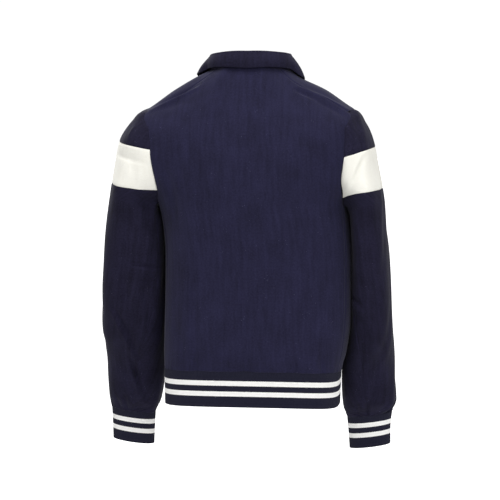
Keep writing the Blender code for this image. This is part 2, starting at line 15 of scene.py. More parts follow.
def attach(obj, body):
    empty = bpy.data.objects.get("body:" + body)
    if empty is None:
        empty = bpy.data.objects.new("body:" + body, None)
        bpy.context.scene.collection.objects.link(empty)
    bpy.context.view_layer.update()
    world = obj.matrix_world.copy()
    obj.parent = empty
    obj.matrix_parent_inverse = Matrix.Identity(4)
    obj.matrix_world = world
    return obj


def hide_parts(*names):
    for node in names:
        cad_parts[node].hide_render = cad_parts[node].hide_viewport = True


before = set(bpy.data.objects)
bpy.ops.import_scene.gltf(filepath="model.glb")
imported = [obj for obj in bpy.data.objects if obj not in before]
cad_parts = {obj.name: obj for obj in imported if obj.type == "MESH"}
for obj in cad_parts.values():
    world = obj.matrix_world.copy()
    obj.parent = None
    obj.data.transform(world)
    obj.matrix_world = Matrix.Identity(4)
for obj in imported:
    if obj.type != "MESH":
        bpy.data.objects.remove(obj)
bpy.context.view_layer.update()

# ---- driving sizes
CLOTH = 0.0015          # wool cloth with its turned edges
RIB = 0.0026            # rib knit, folded double
COLLAR_WALL = 0.0024    # two layers of cloth
SEAM_GAP = 0.0003       # between neighbouring pieces
NECK_GAP = 0.0009       # the collar's stand over the neck seam

ZIP_OPENING = 0.0130    # between the two front edges
CHAIN_WIDTH = 0.0058    # both rows of teeth together
CHAIN_THICK = 0.0024
CHAIN_INSET = 0.0016    # the chain's face behind the cloth's face
TAPE_WIDTH = 0.0120     # one side of the zip, from its teeth outwards
TAPE_THICK = 0.0010
SLIDER_RING = 13.35     # where the pull turns, on the body's form
SLIDER_CLEAR = 0.0004   # between the slider's plates and the chain
SLIDER = (0.0104, 0.0013, 0.0130)      # width, plate thickness, length
SLIDER_POST = (0.0026, 0.0034)         # width and height of the post between the rows of teeth
BRIDGE = (0.0026, 0.0011, 0.0094)      # width, thickness, length of the loop that holds the pull
BRIDGE_ROOM = 0.0023                   # under the bridge, for the pull's eye
PULL = (0.0074, 0.0013, 0.0300)        # width, thickness, length
PULL_EYE = (0.0042, 0.0064)            # width and height of the hole that the bridge passes through
STOP_BOX = (0.0078, 0.0020, 0.0120)    # at the foot of the zip
STOP_INSET = 0.0005
JOIN = 0.0002           # how far one block of a joined piece runs into the next

# ---- the body's form, from the hem up. Each row is a ring round the body: its height at the sides,
# how far it reaches left, right, back and front, how much higher its back and front lie than its
# sides, how much lower its right side is, and how square its back and front halves are (2 is an
# ellipse). The last columns say, in degrees from centre back, where the back panel ends on the left
# and the right, and where the chest of a front panel starts. Those edges follow the side seam, then
# the armhole, then the shoulder seam, which lies behind the shoulder's crest. A front edge of 0 is
# the same side seam; above the armhole it is the line where the chest meets the strip that goes over
# the shoulder.
Ring = namedtuple("Ring", "name level left right back front lift_back lift_front drop_right "
                          "square_back square_front seam_left seam_right front_edge")
BODY = [
    Ring("hem edge",     -0.6545, 0.171, 0.179, 0.116, 0.114, 0.0035, 0.0035, 0.003, 3.6, 2.6, 64, 77, 0),
    Ring("rib seam",     -0.584, 0.172, 0.182, 0.120, 0.119,  0.005,  0.005, 0.003, 3.5, 2.6, 65, 76, 0),
    Ring("blouse",       -0.549, 0.173, 0.191, 0.127, 0.128,  0.001,  0.001, 0.001, 3.1, 2.8, 67, 74, 0),
    Ring("waist",        -0.450, 0.171, 0.204, 0.124, 0.130,  0.000,  0.000, 0, 2.8, 3.6, 68, 68, 0),
    Ring("chest",        -0.360, 0.171, 0.204, 0.125, 0.136,  0.000,  0.000, 0, 2.6, 3.6, 69, 68, 0),
    Ring("side",         -0.300, 0.175, 0.199, 0.127, 0.138,  0.000, -0.002, 0, 2.5, 3.2, 71, 70, 0),
    Ring("underarm",     -0.255, 0.1845, 0.193, 0.128, 0.137,  0.000, -0.005, 0, 2.5, 2.6, 76, 75, 0),
    Ring("low armhole",  -0.229, 0.200, 0.204, 0.128, 0.134, -0.006, -0.016, 0, 2.5, 2.5, 61, 64, 116),
    Ring("back armhole", -0.195, 0.222, 0.222, 0.127, 0.129, -0.015, -0.030, 0, 2.5, 2.5, 52, 54, 125),
    Ring("blade",        -0.130, 0.246, 0.242, 0.124, 0.121, -0.045, -0.070, 0, 2.5, 2.5, 47, 49, 131),
    Ring("yoke",         -0.078, 0.240, 0.235, 0.120, 0.115, -0.067, -0.097, 0, 2.5, 2.5, 51, 52, 127),
    Ring("armhole top",  -0.067, 0.210, 0.205, 0.114, 0.109, -0.047, -0.082, 0, 2.6, 2.6, 70, 70, 109),
    Ring("mid shoulder", -0.028, 0.153, 0.149, 0.098, 0.100, -0.032, -0.094, 0.002, 2.3, 2.3, 60, 60, 108),
    Ring("neck side",    -0.004, 0.111, 0.106, 0.080, 0.090, -0.005, -0.087, 0.006, 2.1, 2.1, 52, 52, 106),
    Ring("neckline",      0.008, 0.083, 0.080, 0.066, 0.080,  0.011, -0.074, -0.002, 2.1, 2.1, 48, 48, 104),
]
RIB_SEAM, UNDERARM, ARMHOLE_TOP, NECKLINE = 1, 6, 11, 14

# ---- the sleeves, from the crown down. Above the underarm a row meets the armhole at a ring of the
# body, a little lower on the right. Each row gives the outer and inner side of the left and the right
# sleeve, the height of both sides, how much higher the left sleeve's outer side lies, how far the
# cloth reaches back and front of the middle, how far forward that middle is, and how square the row is.
Row = namedtuple("Row", "name ring_left ring_right outer_left outer_right outer_level inner_left "
                        "inner_right inner_level rise_left deep_left deep_right forward square")
SLEEVE = [
    Row("crown",      11,   11, 0.210, 0.205, -0.067, 0.180, 0.180, -0.072,     0, 0.050, 0.050,     0, 2.2),
    Row("high cap", 10.5, 10.5, 0.230, 0.221, -0.085, 0.160, 0.160, -0.090, 0.002, 0.062, 0.062,     0, 2.2),
    Row("cap",        10,  9.9, 0.246, 0.234, -0.106, 0.142, 0.148, -0.108, 0.005, 0.078, 0.078,     0, 2.2),
    Row("band top",  9.1,  8.8, 0.265, 0.247, -0.142, 0.128, 0.140, -0.153, 0.009, 0.090, 0.090,     0, 2.3),
    Row("mid band",    8,  7.7, 0.274, 0.255, -0.186, 0.150, 0.160, -0.200, 0.008, 0.090, 0.091,     0, 2.3),
    Row("band foot", 7.1, 6.55, 0.280, 0.262, -0.224, 0.192, 0.195, -0.233, 0.009, 0.086, 0.089,     0, 2.3),
    Row("underarm",    6,    6, 0.285, 0.266, -0.250, 0.194, 0.199, -0.256, 0.003, 0.081, 0.087, 0.002, 2.4),
    Row("upper arm",   5,    5, 0.293, 0.270, -0.305, 0.180, 0.201, -0.293,     0, 0.077, 0.086, 0.004, 2.6),
    Row("high arm",    5,    5, 0.298, 0.275, -0.364, 0.177, 0.205, -0.368,     0, 0.074, 0.084, 0.008, 3.0),
    Row("elbow",       5,    5, 0.304, 0.279, -0.430, 0.177, 0.205, -0.436,     0, 0.072, 0.082, 0.016, 3.0),
    Row("forearm",     5,    5, 0.307, 0.283, -0.513, 0.179, 0.197, -0.521,     0, 0.068, 0.075, 0.032, 2.6),
    Row("low arm",     5,    5, 0.305, 0.286, -0.593, 0.186, 0.177, -0.603,     0, 0.062, 0.062, 0.064, 2.2),
    Row("fullness",    5,    5, 0.305, 0.289, -0.656, 0.197, 0.181, -0.667,     0, 0.052, 0.052, 0.070, 2.2),
    Row("cuff seam",   5,    5, 0.300, 0.281, -0.683, 0.208, 0.188, -0.694,     0, 0.034, 0.034, 0.072, 2.1),
    Row("mid cuff",    5,    5, 0.299, 0.277, -0.715, 0.211, 0.191, -0.726,     0, 0.030, 0.030, 0.076, 2.1),
    Row("cuff edge",   5,    5, 0.299, 0.277, -0.750, 0.213, 0.193, -0.761,     0, 0.030, 0.030, 0.080, 2.1),
]
CROWN, BAND_TOP, BAND_FOOT, SLEEVE_UNDERARM, CUFF_SEAM, CUFF_EDGE = 0, 3, 5, 6, 13, 15

# ---- the collar, from centre back to its front end: degrees round the neck, the height of its stand,
# how far the stand leans in, and where the leaf's edge lies on the body, as a ring and an angle, with
# its height over the cloth.
Fold = namedtuple("Fold", "around stand lean edge_ring edge_angle clear")
COLLAR = [
    Fold(0,   0.0242, 0.003, 13.66, 0,   0.0075),
    Fold(45,  0.0272, 0.003, 13.82, 45,  0.0070),
    Fold(66,  0.0285, 0.003, 13.82, 66,  0.0055),
    Fold(88,  0.0285, 0.004, 13.10, 86,  0.0045),
    Fold(120, 0.0225, 0.004, 12.90, 120, 0.0045),
    Fold(150, 0.0140, 0.003, 12.30, 138, 0.0055),
    Fold(174, 0.0070, 0.001, 11.75, 149, 0.0055),
]
COLLAR_ROLL = 0.0036    # half the collar's width at its fold
COLLAR_BULGE = 0.0035   # how far the leaf stands out between its fold and its edge
STAND_SHARE, FOLD_SHARE = 0.35, 0.5     # where along the collar its stand ends, and its fold
UNDERARM_HOLD = 0.10    # the share of a sleeve's girth that the armhole's foot draws in, on each side
HOLD_RINGS = 2.5        # over this many rings of the body that share grows to half the girth
CREST_ROWS = 1.5        # over these rows a sleeve's crown leaves the body's own form
SOFT_POWER = 6          # how sharply a free sleeve's first column stops turning with its armhole's edge


# ---- reading the tables
LINE_STEPS = 8001       # points enough to measure a curved line with
NECK_STEP = 0.1         # rings below the neckline at which its slope is taken
NORMAL_STEP = 0.004     # in rings and in radians, the step that a face's direction is taken over


def smooth(rows, column, at):
    """One column read between its rows, on a smooth curve that never swings past them."""
    value = np.array([getattr(row, column) for row in rows], float)
    step = np.diff(value)
    rising = step[:-1] * step[1:] > 0
    slope = np.zeros_like(value)
    pairs = np.where(rising, step[:-1] + step[1:], 1.0)
    slope[1:-1] = np.where(rising, 2 * step[:-1] * step[1:] / pairs, 0.0)
    slope[0], slope[-1] = step[0], step[-1]
    at = np.asarray(at, float)
    low = np.clip(np.floor(at).astype(int), 0, len(value) - 2)
    s = at - low
    keep, turn = (1 + 2 * s) * (1 - s) ** 2, s * (1 - s) ** 2
    return (keep * value[low] + turn * slope[low]
            + (1 - keep) * value[low + 1] - s * s * (1 - s) * slope[low + 1])


def rounded(angle, square):
    """Sine and cosine of an angle, bent so that the ring they draw is as square as asked."""
    power = 2.0 / square
    sine, cosine = np.sin(angle), np.cos(angle)
    return np.sign(sine) * np.abs(sine) ** power, np.sign(cosine) * np.abs(cosine) ** power


# ---- the body
def body_point(ring, angle):
    """The body's outer face. The angle is 0 at centre back and grows to the wearer's left."""
    ring, angle = np.broadcast_arrays(np.asarray(ring, float), np.asarray(angle, float))
    behind = np.cos(angle) >= 0
    square = np.where(behind, smooth(BODY, "square_back", ring), smooth(BODY, "square_front", ring))
    across, along = rounded(angle, square)
    reach = np.where(across >= 0, smooth(BODY, "left", ring), smooth(BODY, "right", ring))
    depth = np.where(behind, smooth(BODY, "back", ring), smooth(BODY, "front", ring))
    lift = np.where(behind, smooth(BODY, "lift_back", ring), smooth(BODY, "lift_front", ring))
    level = smooth(BODY, "level", ring) + lift * np.cos(angle) ** 2
    level = level - smooth(BODY, "drop_right", ring) * np.clip(-np.sin(angle), 0, 1) ** 2
    return np.stack([reach * across, depth * along, level], axis=-1)


def across_body(rings, first_turn, last_turn, shares):
    """Rows of points across the body from one edge to another, each row's as evenly spaced as the shares."""
    rows = []
    for ring, first, last in zip(rings, np.ravel(first_turn), np.ravel(last_turn)):
        turns = np.linspace(first, last, LINE_STEPS)
        line = body_point(ring, turns)
        run = np.append(0.0, np.cumsum(np.linalg.norm(np.diff(line, axis=0), axis=1)))
        rows.append(body_point(ring, np.interp(shares, run / run[-1], turns)))
    return np.stack(rows)


def back_edge(ring, side):
    """Where the back panel ends: side is 1 on the wearer's left and -1 on the right."""
    column = "seam_left" if side > 0 else "seam_right"
    return side * np.radians(smooth(BODY, column, ring))


def front_edge(ring, side):
    """Where the chest of a front panel starts: on the side seam, or at the front of the armhole."""
    ring = np.asarray(ring, float)
    above = BODY[UNDERARM + 1:]
    armhole = np.radians(smooth(above, "front_edge", np.clip(ring - UNDERARM - 1, 0, None)))
    side_seam = np.abs(back_edge(np.minimum(ring, UNDERARM), side))
    climb = np.clip(ring - UNDERARM, 0, 1)
    return side * (side_seam + (armhole - side_seam) * climb)


def zip_edge(ring, side):
    """The angle at which a front panel stops beside the zip."""
    reach = smooth(BODY, "left" if side > 0 else "right", ring)
    share = (ZIP_OPENING / 2) / reach
    return side * (math.pi - np.arcsin(share ** (smooth(BODY, "square_front", ring) / 2)))


# ---- the sleeves
def sleeve_point(row, share, side):
    """A sleeve's outer face: share runs from 0 at the back of the armhole round to 1 at its front."""
    row, share = np.broadcast_arrays(np.asarray(row, float), np.asarray(share, float))
    hand = "left" if side > 0 else "right"
    outer, inner = smooth(SLEEVE, "outer_" + hand, row), smooth(SLEEVE, "inner_" + hand, row)
    outer_level = smooth(SLEEVE, "outer_level", row)
    if side > 0:
        outer_level = outer_level + smooth(SLEEVE, "rise_left", row)
    inner_level = smooth(SLEEVE, "inner_level", row)
    deep, square = smooth(SLEEVE, "deep_" + hand, row), smooth(SLEEVE, "square", row)
    middle = -smooth(SLEEVE, "forward", row)

    ring = np.clip(smooth(SLEEVE, "ring_" + hand, row), UNDERARM, ARMHOLE_TOP)
    back_turn, front_turn = back_edge(ring, side), front_edge(ring, side)
    back, front = body_point(ring, back_turn), body_point(ring, front_turn)

    def turn_to(edge):
        reach = (edge[..., 1] - middle) / deep
        soft = reach / (1 + np.abs(reach) ** SOFT_POWER) ** (1 / SOFT_POWER)
        loose = np.clip(row - SLEEVE_UNDERARM - 1, 0, 1)
        reach = np.clip(reach, -1, 1) * (1 - loose) + soft * loose
        return np.arcsin(np.sign(reach) * np.abs(reach) ** (square / 2))

    def ring_point(turn):
        depth, toward = rounded(turn, square)
        x = (outer + inner) / 2 - toward * (outer - inner) / 2
        z = (outer_level + inner_level) / 2 - toward * (outer_level - inner_level) / 2
        return np.stack([side * x, middle + depth * deep, z], axis=-1)

    start, stop = turn_to(back), 2 * math.pi + turn_to(front)
    point = ring_point(start + (stop - start) * share)
    reach = UNDERARM_HOLD + (0.5 - UNDERARM_HOLD) * np.clip((ring - UNDERARM) / HOLD_RINGS, 0, 1)
    sewn = np.clip(SLEEVE_UNDERARM + 1 - row, 0, 1) ** 2
    hold_back = (sewn * np.clip(1 - share / reach, 0, 1) ** 2)[..., None]
    hold_front = (sewn * np.clip(1 - (1 - share) / reach, 0, 1) ** 2)[..., None]
    point = point + hold_back * (back - ring_point(start)) + hold_front * (front - ring_point(stop))

    over = back_turn + (front_turn - back_turn) * share
    crest = np.clip(1 - row / CREST_ROWS, 0, 1)[..., None]
    crest = crest * crest * (3 - 2 * crest)
    return point + crest * (body_point(ring, over) - point)


# ---- the collar
def collar_point(turn, share, side):
    """The collar's face: turn runs along its table, share from the neck seam (0) over the fold to the
    leaf's edge (1)."""
    turn, share = np.broadcast_arrays(np.asarray(turn, float), np.asarray(share, float))
    around = np.radians(smooth(COLLAR, "around", turn)) * side
    outward = np.stack([np.sin(around), np.cos(around), np.zeros_like(around)], axis=-1)
    neck = body_point(float(NECKLINE), around)
    rising = neck - body_point(NECKLINE - NECK_STEP, around)
    rising = rising / np.linalg.norm(rising, axis=-1, keepdims=True)
    neck = neck + rising * NECK_GAP - outward * (COLLAR_WALL + CLOTH) / 2
    stand = smooth(COLLAR, "stand", turn)[..., None]
    lean = smooth(COLLAR, "lean", turn)[..., None]
    up = np.array([0.0, 0.0, 1.0])
    inside = neck + stand * up - lean * outward
    centre = inside + COLLAR_ROLL * outward
    edge_angle = np.radians(smooth(COLLAR, "edge_angle", turn)) * side
    edge_ring = smooth(COLLAR, "edge_ring", turn)
    clear = smooth(COLLAR, "clear", turn)[..., None]
    edge = body_point(edge_ring, edge_angle) + face_normal(edge_ring, edge_angle) * clear
    outside = centre + COLLAR_ROLL * outward

    share = share[..., None]
    rise = np.clip(share / STAND_SHARE, 0, 1)
    over = np.clip((share - STAND_SHARE) / (FOLD_SHARE - STAND_SHARE), 0, 1) * math.pi
    fall = np.clip((share - FOLD_SHARE) / (1 - FOLD_SHARE), 0, 1)
    standing = neck + (inside - neck) * rise
    rolling = centre + COLLAR_ROLL * (np.sin(over) * up - np.cos(over) * outward)
    bulge = COLLAR_BULGE * np.sin(math.pi * fall) * outward
    falling = outside + (edge - outside) * fall + bulge
    return np.where(share <= STAND_SHARE, standing, np.where(share < FOLD_SHARE, rolling, falling))


def face_normal(ring, angle):
    """The outward direction of the body's face."""
    along = body_point(ring + NORMAL_STEP, angle) - body_point(ring - NORMAL_STEP, angle)
    across = body_point(ring, angle + NORMAL_STEP) - body_point(ring, angle - NORMAL_STEP)
    normal = np.cross(across, along)
    normal = normal / np.linalg.norm(normal, axis=-1, keepdims=True)
    outward = np.stack([np.sin(angle), np.cos(angle), np.full_like(angle, 0.2)], axis=-1)
    facing = np.sign(np.sum(normal * outward, axis=-1, keepdims=True))
    return normal * np.where(facing == 0, 1.0, facing)


# ---- turning a grid of points into a sewn piece
def trim(grid, first_row=0.0, last_row=0.0, first_column=0.0, last_column=0.0):
    """Draw a grid's edges in by real distances, so that it clears the pieces sewn to it."""
    grid = grid.copy()

    def draw_in(edge, next_in, distance):
        step = next_in - edge
        return edge + step / np.linalg.norm(step, axis=-1, keepdims=True) * distance

    if first_row:
        grid[0] = draw_in(grid[0], grid[1], first_row)
    if last_row:
        grid[-1] = draw_in(grid[-1], grid[-2], last_row)
    if first_column:
        grid[:, 0] = draw_in(grid[:, 0], grid[:, 1], first_column)
    if last_column:
        grid[:, -1] = draw_in(grid[:, -1], grid[:, -2], last_column)
    return grid


# ---- fine grids
EDGE_STEPS = (0.0006, 0.0014, 0.0026, 0.0042)    # extra points this far from a piece's edges
RIB_STEPS = (0.0006, 0.0026)                     # and on the ribs, which are smoothed as well
SEAM_DROP = 0.0009       # a sewn edge turns in by this much
SEAM_SOFT = 0.0019       # over this distance
HIDDEN_GAP = 0.0001      # between neighbouring pieces as drawn
SEAM_LAP = -0.0012       # a piece that is sewn under its neighbour's edge reaches this far past the seam
ARMHOLE_LAP = -0.0022    # a sleeve reaches this far past its armhole


def stations(first, last, count, length, steps=EDGE_STEPS):
    """Even steps from first to last, with more of them near both ends. Length is the real distance."""
    near = np.array(steps) / length * (last - first)
    return np.unique(np.concatenate([np.linspace(first, last, count), first + near, last - near]))


def evened(line, shares):
    """Where along a line of points each share of its length falls, as a share of its steps."""
    run = np.concatenate([[0.0], np.cumsum(np.linalg.norm(np.diff(line, axis=0), axis=1))])
    return np.interp(shares, run / run[-1], np.linspace(0, 1, len(run)))


FINE = np.linspace(0, 1, 4001)      # steps fine enough to measure a line with


def run_along(grid, axis):
    """The real distance along a grid, from its first row or column."""
    step = np.linalg.norm(np.diff(grid, axis=axis), axis=-1)
    start = np.zeros_like(np.take(step, [0], axis=axis))
    return np.concatenate([start, np.cumsum(step, axis=axis)], axis=axis)


def normals_of(grid, inside_out):
    """The direction of a grid's face at each point."""
    down, across = np.gradient(grid, axis=0), np.gradient(grid, axis=1)
    normal = np.cross(across, down)
    normal = normal / np.maximum(np.linalg.norm(normal, axis=-1, keepdims=True), 1e-12)
    return -normal if inside_out else normal


# ---- folds. Each crease runs on a smooth line through three points across and up, seen from behind or in
# front, on the body or on one sleeve. All its numbers are in millimetres. A depth below 0 is a trough and
# one above 0 a ridge; a lean other than 0 lifts the cloth on one side of the line and lowers it on the other.
Crease = namedtuple("Crease", "name start middle end width depth lean", defaults=(0,))
MM = 0.001
BACK, FRONT = 1, -1
CREASES = {
    ("body", BACK): [
        Crease("left shoulder edge", (90, -20), (139, -45), (212, -78), 3.2, 4.8, 1),
        Crease("left shoulder pull", (178, -68), (148, -60), (112, -47), 5, -1.6),
        Crease("right shoulder edge", (-92, -22), (-146, -45), (-220, -82), 3.2, 5.2, -1),
        Crease("right shoulder tuck", (-88, -26), (-114, -37), (-150, -54), 3.4, -5.8),
        Crease("right shoulder pull", (-130, -50), (-168, -66), (-205, -92), 5, -2),
        Crease("left shoulder dimple", (130, -50), (116, -54), (106, -61), 7, -1.6),
        Crease("left blade pull", (176, -160), (150, -213), (138, -300), 10, -3.8),
        Crease("left blade pull, inner", (142, -115), (127, -174), (116, -250), 10, -2),
        Crease("left back streak", (104, -390), (97, -490), (98, -575), 9, -2.2),
        Crease("right blade pull", (-170, -150), (-150, -220), (-146, -310), 12, -3),
        Crease("right back streak", (-120, -330), (-117, -450), (-122, -560), 13, -1.8),
        Crease("middle back hang", (12, -200), (20, -350), (16, -500), 16, -1.2),
        Crease("low back wave", (-30, -570), (-67, -550), (-100, -534), 8, -1.6),
        Crease("low left drag", (150, -470), (128, -520), (118, -572), 10, -1.8),
        Crease("rib pull 1", (101, -546), (99, -562), (97, -583), 4, -3.4),
        Crease("rib pull 2", (-102, -540), (-103, -560), (-103, -583), 4, -3.4),
        Crease("rib pull 3", (-148, -545), (-151, -564), (-154, -586), 4.5, -4),
        Crease("rib pull 4", (30, -552), (31, -566), (31, -583), 5, -1.4),
        Crease("rib pull 5", (-40, -556), (-41, -568), (-41, -583), 5, -1.2),
    ],
    ("body", FRONT): [
        Crease("left pull", (170, -170), (120, -235), (85, -330), 13, -3),
        Crease("right pull", (-168, -165), (-126, -230), (-98, -300), 12, -2.6),
        Crease("left yoke pull", (190, -110), (150, -150), (118, -215), 10, -2),
        Crease("right yoke pull", (-192, -120), (-158, -155), (-128, -205), 9, -1.8),
        Crease("left hang", (75, -330), (70, -450), (78, -565), 13, -2.2),
        Crease("right hang", (-90, -360), (-82, -460), (-86, -570), 12, -2.2),
        Crease("left rib pull", (120, -544), (121, -562), (121, -583), 4.5, -2.6),
        Crease("left rib pull, small", (50, -552), (50, -566), (51, -583), 4, -1.8),
        Crease("right rib pull", (-56, -548), (-56, -564), (-55, -583), 4.5, -2.4),
        Crease("right rib pull, side", (-130, -544), (-131, -562), (-132, -584), 4.5, -2.6),
    ],
    ("left", BACK): [
        Crease("cap fall", (222, -96), (232, -112), (240, -132), 3.6, 1.8),
        Crease("band pull", (236, -146), (226, -186), (220, -226), 9, -1.2),
        Crease("upper trough", (206, -236), (200, -275), (194, -330), 8, -4.4),
        Crease("upper streak", (240, -240), (236, -290), (238, -350), 8, -1.6),
        Crease("elbow", (238, -374), (208, -379), (176, -387), 4.6, -4.8, 1),
        Crease("elbow, low", (220, -402), (201, -411), (182, -409), 5, -3.4),
        Crease("forearm inner", (213, -405), (205, -455), (203, -515), 7, -4.4),
        Crease("forearm outer", (252, -380), (247, -424), (238, -475), 7, -4),
        Crease("long fold", (281, -457), (249, -514), (227, -583), 5, -6.6, 1),
        Crease("wrist fold", (243, -565), (236, -611), (214, -674), 4.8, -7, 1),
        Crease("cuff pucker 1", (266, -646), (264, -664), (260, -688), 4.4, -4.4),
        Crease("cuff pucker 2", (240, -656), (240, -670), (240, -690), 4.4, -2.8),
        Crease("cuff pucker 3", (284, -652), (281, -668), (276, -686), 4.4, -2.4),
    ],
    ("left", FRONT): [
        Crease("elbow", (272, -395), (234, -410), (190, -396), 7, -4.2, 1),
        Crease("elbow, low", (262, -440), (222, -448), (186, -432), 7, -3.4, 1),
        Crease("forearm", (270, -500), (254, -560), (248, -640), 7.5, -3.4),
        Crease("cuff", (252, -640), (251, -664), (250, -690), 5, -3),
        Crease("upper pull", (262, -262), (236, -292), (200, -306), 8, -2.6),
    ],
    ("right", BACK): [
        Crease("upper streak", (-232, -246), (-236, -300), (-232, -370), 9, -2),
        Crease("elbow", (-207, -436), (-217, -446), (-238, -468), 5.5, -3.6, 1),
        Crease("elbow, low", (-206, -470), (-217, -482), (-232, -500), 5.5, -2.6),
        Crease("outer trough", (-262, -340), (-254, -420), (-258, -500), 11, -3.6),
        Crease("inner trough", (-230, -460), (-226, -540), (-222, -620), 11, -4.4),
        Crease("wrist drag", (-262, -560), (-250, -610), (-243, -660), 7, -4),
        Crease("band pull", (-238, -148), (-220, -185), (-203, -228), 4.4, -3, 1),
        Crease("cuff fold", (-292, -655), (-280, -676), (-256, -691), 4.8, -6, 1),
        Crease("cuff pucker 1", (-232, -650), (-233, -670), (-234, -698), 4.4, -4.4),
        Crease("cuff pucker 2", (-211, -656), (-212, -674), (-213, -700), 4.4, -2.6),
    ],
    ("right", FRONT): [
        Crease("elbow", (-268, -400), (-240, -414), (-212, -402), 7, -4.2, 1),
        Crease("elbow, low", (-256, -446), (-232, -456), (-210, -444), 7, -3.2, 1),
        Crease("forearm", (-262, -510), (-250, -570), (-240, -650), 8, -3.4),
        Crease("cuff", (-252, -648), (-250, -672), (-248, -700), 5, -3),
        Crease("upper pull", (-244, -268), (-226, -300), (-206, -312), 8, -2.4),
    ],
}
# slow waves in the hang of the cloth
Wave = namedtuple("Wave", "across down height begin")
WAVES = {
    "body": [Wave(0.083, 1.90, 0.0007, 0.4), Wave(0.047, 1.10, 0.0004, 2.1), Wave(0.150, 0.31, 0.0006, 4.0)],
    "left": [Wave(0.060, 0.26, 0.0008, 1.2), Wave(0.037, 0.15, 0.0004, 3.4)],
    "right": [Wave(0.064, 0.30, 0.0008, 2.6), Wave(0.041, 0.17, 0.0004, 0.3)],
}
BODY_GIRTH_RADIUS = 0.14 # a wave runs round the body as if it were a cylinder of this radius
CREASE_STEPS = 15
LEAN_SHARE = 0.55        # how high the cloth stands beside a leaning crease, to the crease's depth
LEAN_APART = 1.6         # how far beside the crease that is, to the crease's width
FACE_START, FACE_SPAN = 0.1, 0.35      # a crease fades out where the cloth turns away from its side


def crease_relief(crease, face, points, normals):
    """How far one crease moves each point along its normal."""
    start, middle, end = (np.array(p) * MM for p in (crease.start, crease.middle, crease.end))
    width = crease.width * MM
    bend = 2 * middle - (start + end) / 2
    t = np.linspace(0, 1, CREASE_STEPS)[:, None]
    line = (1 - t) ** 2 * start + 2 * t * (1 - t) * bend + t * t * end
    flat = points[..., [0, 2]]
    best = np.full(flat.shape[:-1], np.inf)
    place, offset = np.zeros_like(best), np.zeros_like(best)
    for number, (a, b) in enumerate(zip(line[:-1], line[1:])):
        along = b - a
        share = np.clip(((flat - a) @ along) / (along @ along), 0, 1)
        apart = flat - (a + share[..., None] * along)
        distance = np.hypot(apart[..., 0], apart[..., 1])
        nearer = distance < best
        side = np.sign(along[0] * apart[..., 1] - along[1] * apart[..., 0])
        best = np.where(nearer, distance, best)
        offset = np.where(nearer, side * distance, offset)
        place = np.where(nearer, (number + share) / (CREASE_STEPS - 1), place)
    taper = np.sin(math.pi * place)
    facing = np.clip((normals[..., 1] * face + FACE_START) / FACE_SPAN, 0, 1)
    facing = facing * facing * (3 - 2 * facing)
    shape = np.exp(-((best / width) ** 2))
    if crease.lean:
        beside = (offset - LEAN_APART * width) / width
        shape = shape - LEAN_SHARE * crease.lean * np.exp(-(beside ** 2))
    return crease.depth * MM * shape * taper * facing


def relief(points, normals, on):
    """All the folds of the body or of one sleeve."""
    total = np.zeros(points.shape[:-1])
    for face in (BACK, FRONT):
        for crease in CREASES[on, face]:
            total += crease_relief(crease, face, points, normals)
    across, along, up = points[..., 0], points[..., 1], points[..., 2]
    around = np.arctan2(across, along) * BODY_GIRTH_RADIUS if on == "body" else across + along
    for wave in WAVES[on]:
        total += wave.height * np.sin(2 * math.pi * (around / wave.across + up / wave.down) + wave.begin)
    return total


PUCKER_START, PUCKER_LEAST = 0.003, 0.25      # gathers grow over this distance, from this share


def puckers(grid, from_row, height, reach, pitch):
    """Small gathers that fade away from a seam to a rib: uneven, pitch apart on average."""
    distance = run_along(grid, 0)
    if from_row == "last":
        distance = distance[-1:] - distance
    along = run_along(grid, 1) / pitch
    uneven = 0.6 + 0.4 * np.sin(1.7 * along + 1.0)
    wider = 0.45 * np.sin(2 * math.pi * along * 0.61 + 2.0)
    wave = np.sin(2 * math.pi * along) * uneven + wider
    held = np.clip(distance / PUCKER_START, PUCKER_LEAST, 1)
    return height * wave * np.exp(-distance / reach) * held


# ---- materials
def linear(hexed):
    """An sRGB hex colour as linear numbers."""
    parts = [int(hexed[k:k + 2], 16) / 255 for k in (1, 3, 5)]
    return tuple(c / 12.92 if c <= 0.04045 else ((c + 0.055) / 1.055) ** 2.4 for c in parts) + (1.0,)


def add(tree, kind, links, output=0, **settings):
    """Add a node with its settings, and give each input a value or another node's output."""
    made = tree.nodes.new("ShaderNode" + kind)
    for name, value in settings.items():
        setattr(made, name, value)
    for name, value in links.items():
        if isinstance(value, bpy.types.NodeSocket):
            tree.links.new(value, made.inputs[name])
        else:
            made.inputs[name].default_value = value
    return made.outputs[output]


def finish_of(name, **shader):
    """A new material and its shader's sockets that are the same all over."""
    made = bpy.data.materials.new(name)
    made.use_nodes = True
    principled = made.node_tree.nodes["Principled BSDF"]
    for socket, value in shader.items():
        principled.inputs[socket.replace("_", " ")].default_value = value
    return made, made.node_tree, principled


COLOUR_MIX = 2           # the output of a mix that holds its colour
WAVE_REPEATS = 3.14      # a wave pattern at a scale of one repeats about this often in a metre

THREAD = 0.0011          # a thread's width; the real one is about half, too fine to show
TWILL_LEAN = math.radians(62)      # the twill's lines, from straight across the grain
SLUB = 0.0070            # thicker stretches of yarn, this far apart
SLUB_STRETCH = 0.10      # a slub is ten times as long as it is wide
CLOUD = 0.055            # slow changes of shade over the cloth
SLACK = 0.021            # the cloth's faint unevenness, this far apart
NAP_TUFT = 0.0036        # felted tufts of the nap, this far apart; the real ones are finer, too fine to show
FLECK = 0.0045           # lint on the nap, this far apart
FLECK_SIZE = 0.085       # to the distance between flecks
FLECK_PATCH = 0.019      # flecks lie in patches this far apart, where the patch's value passes the limit
FLECK_LIMIT = 0.62
FLECK_SHOWS = 0.35       # how much of its own colour a fleck has


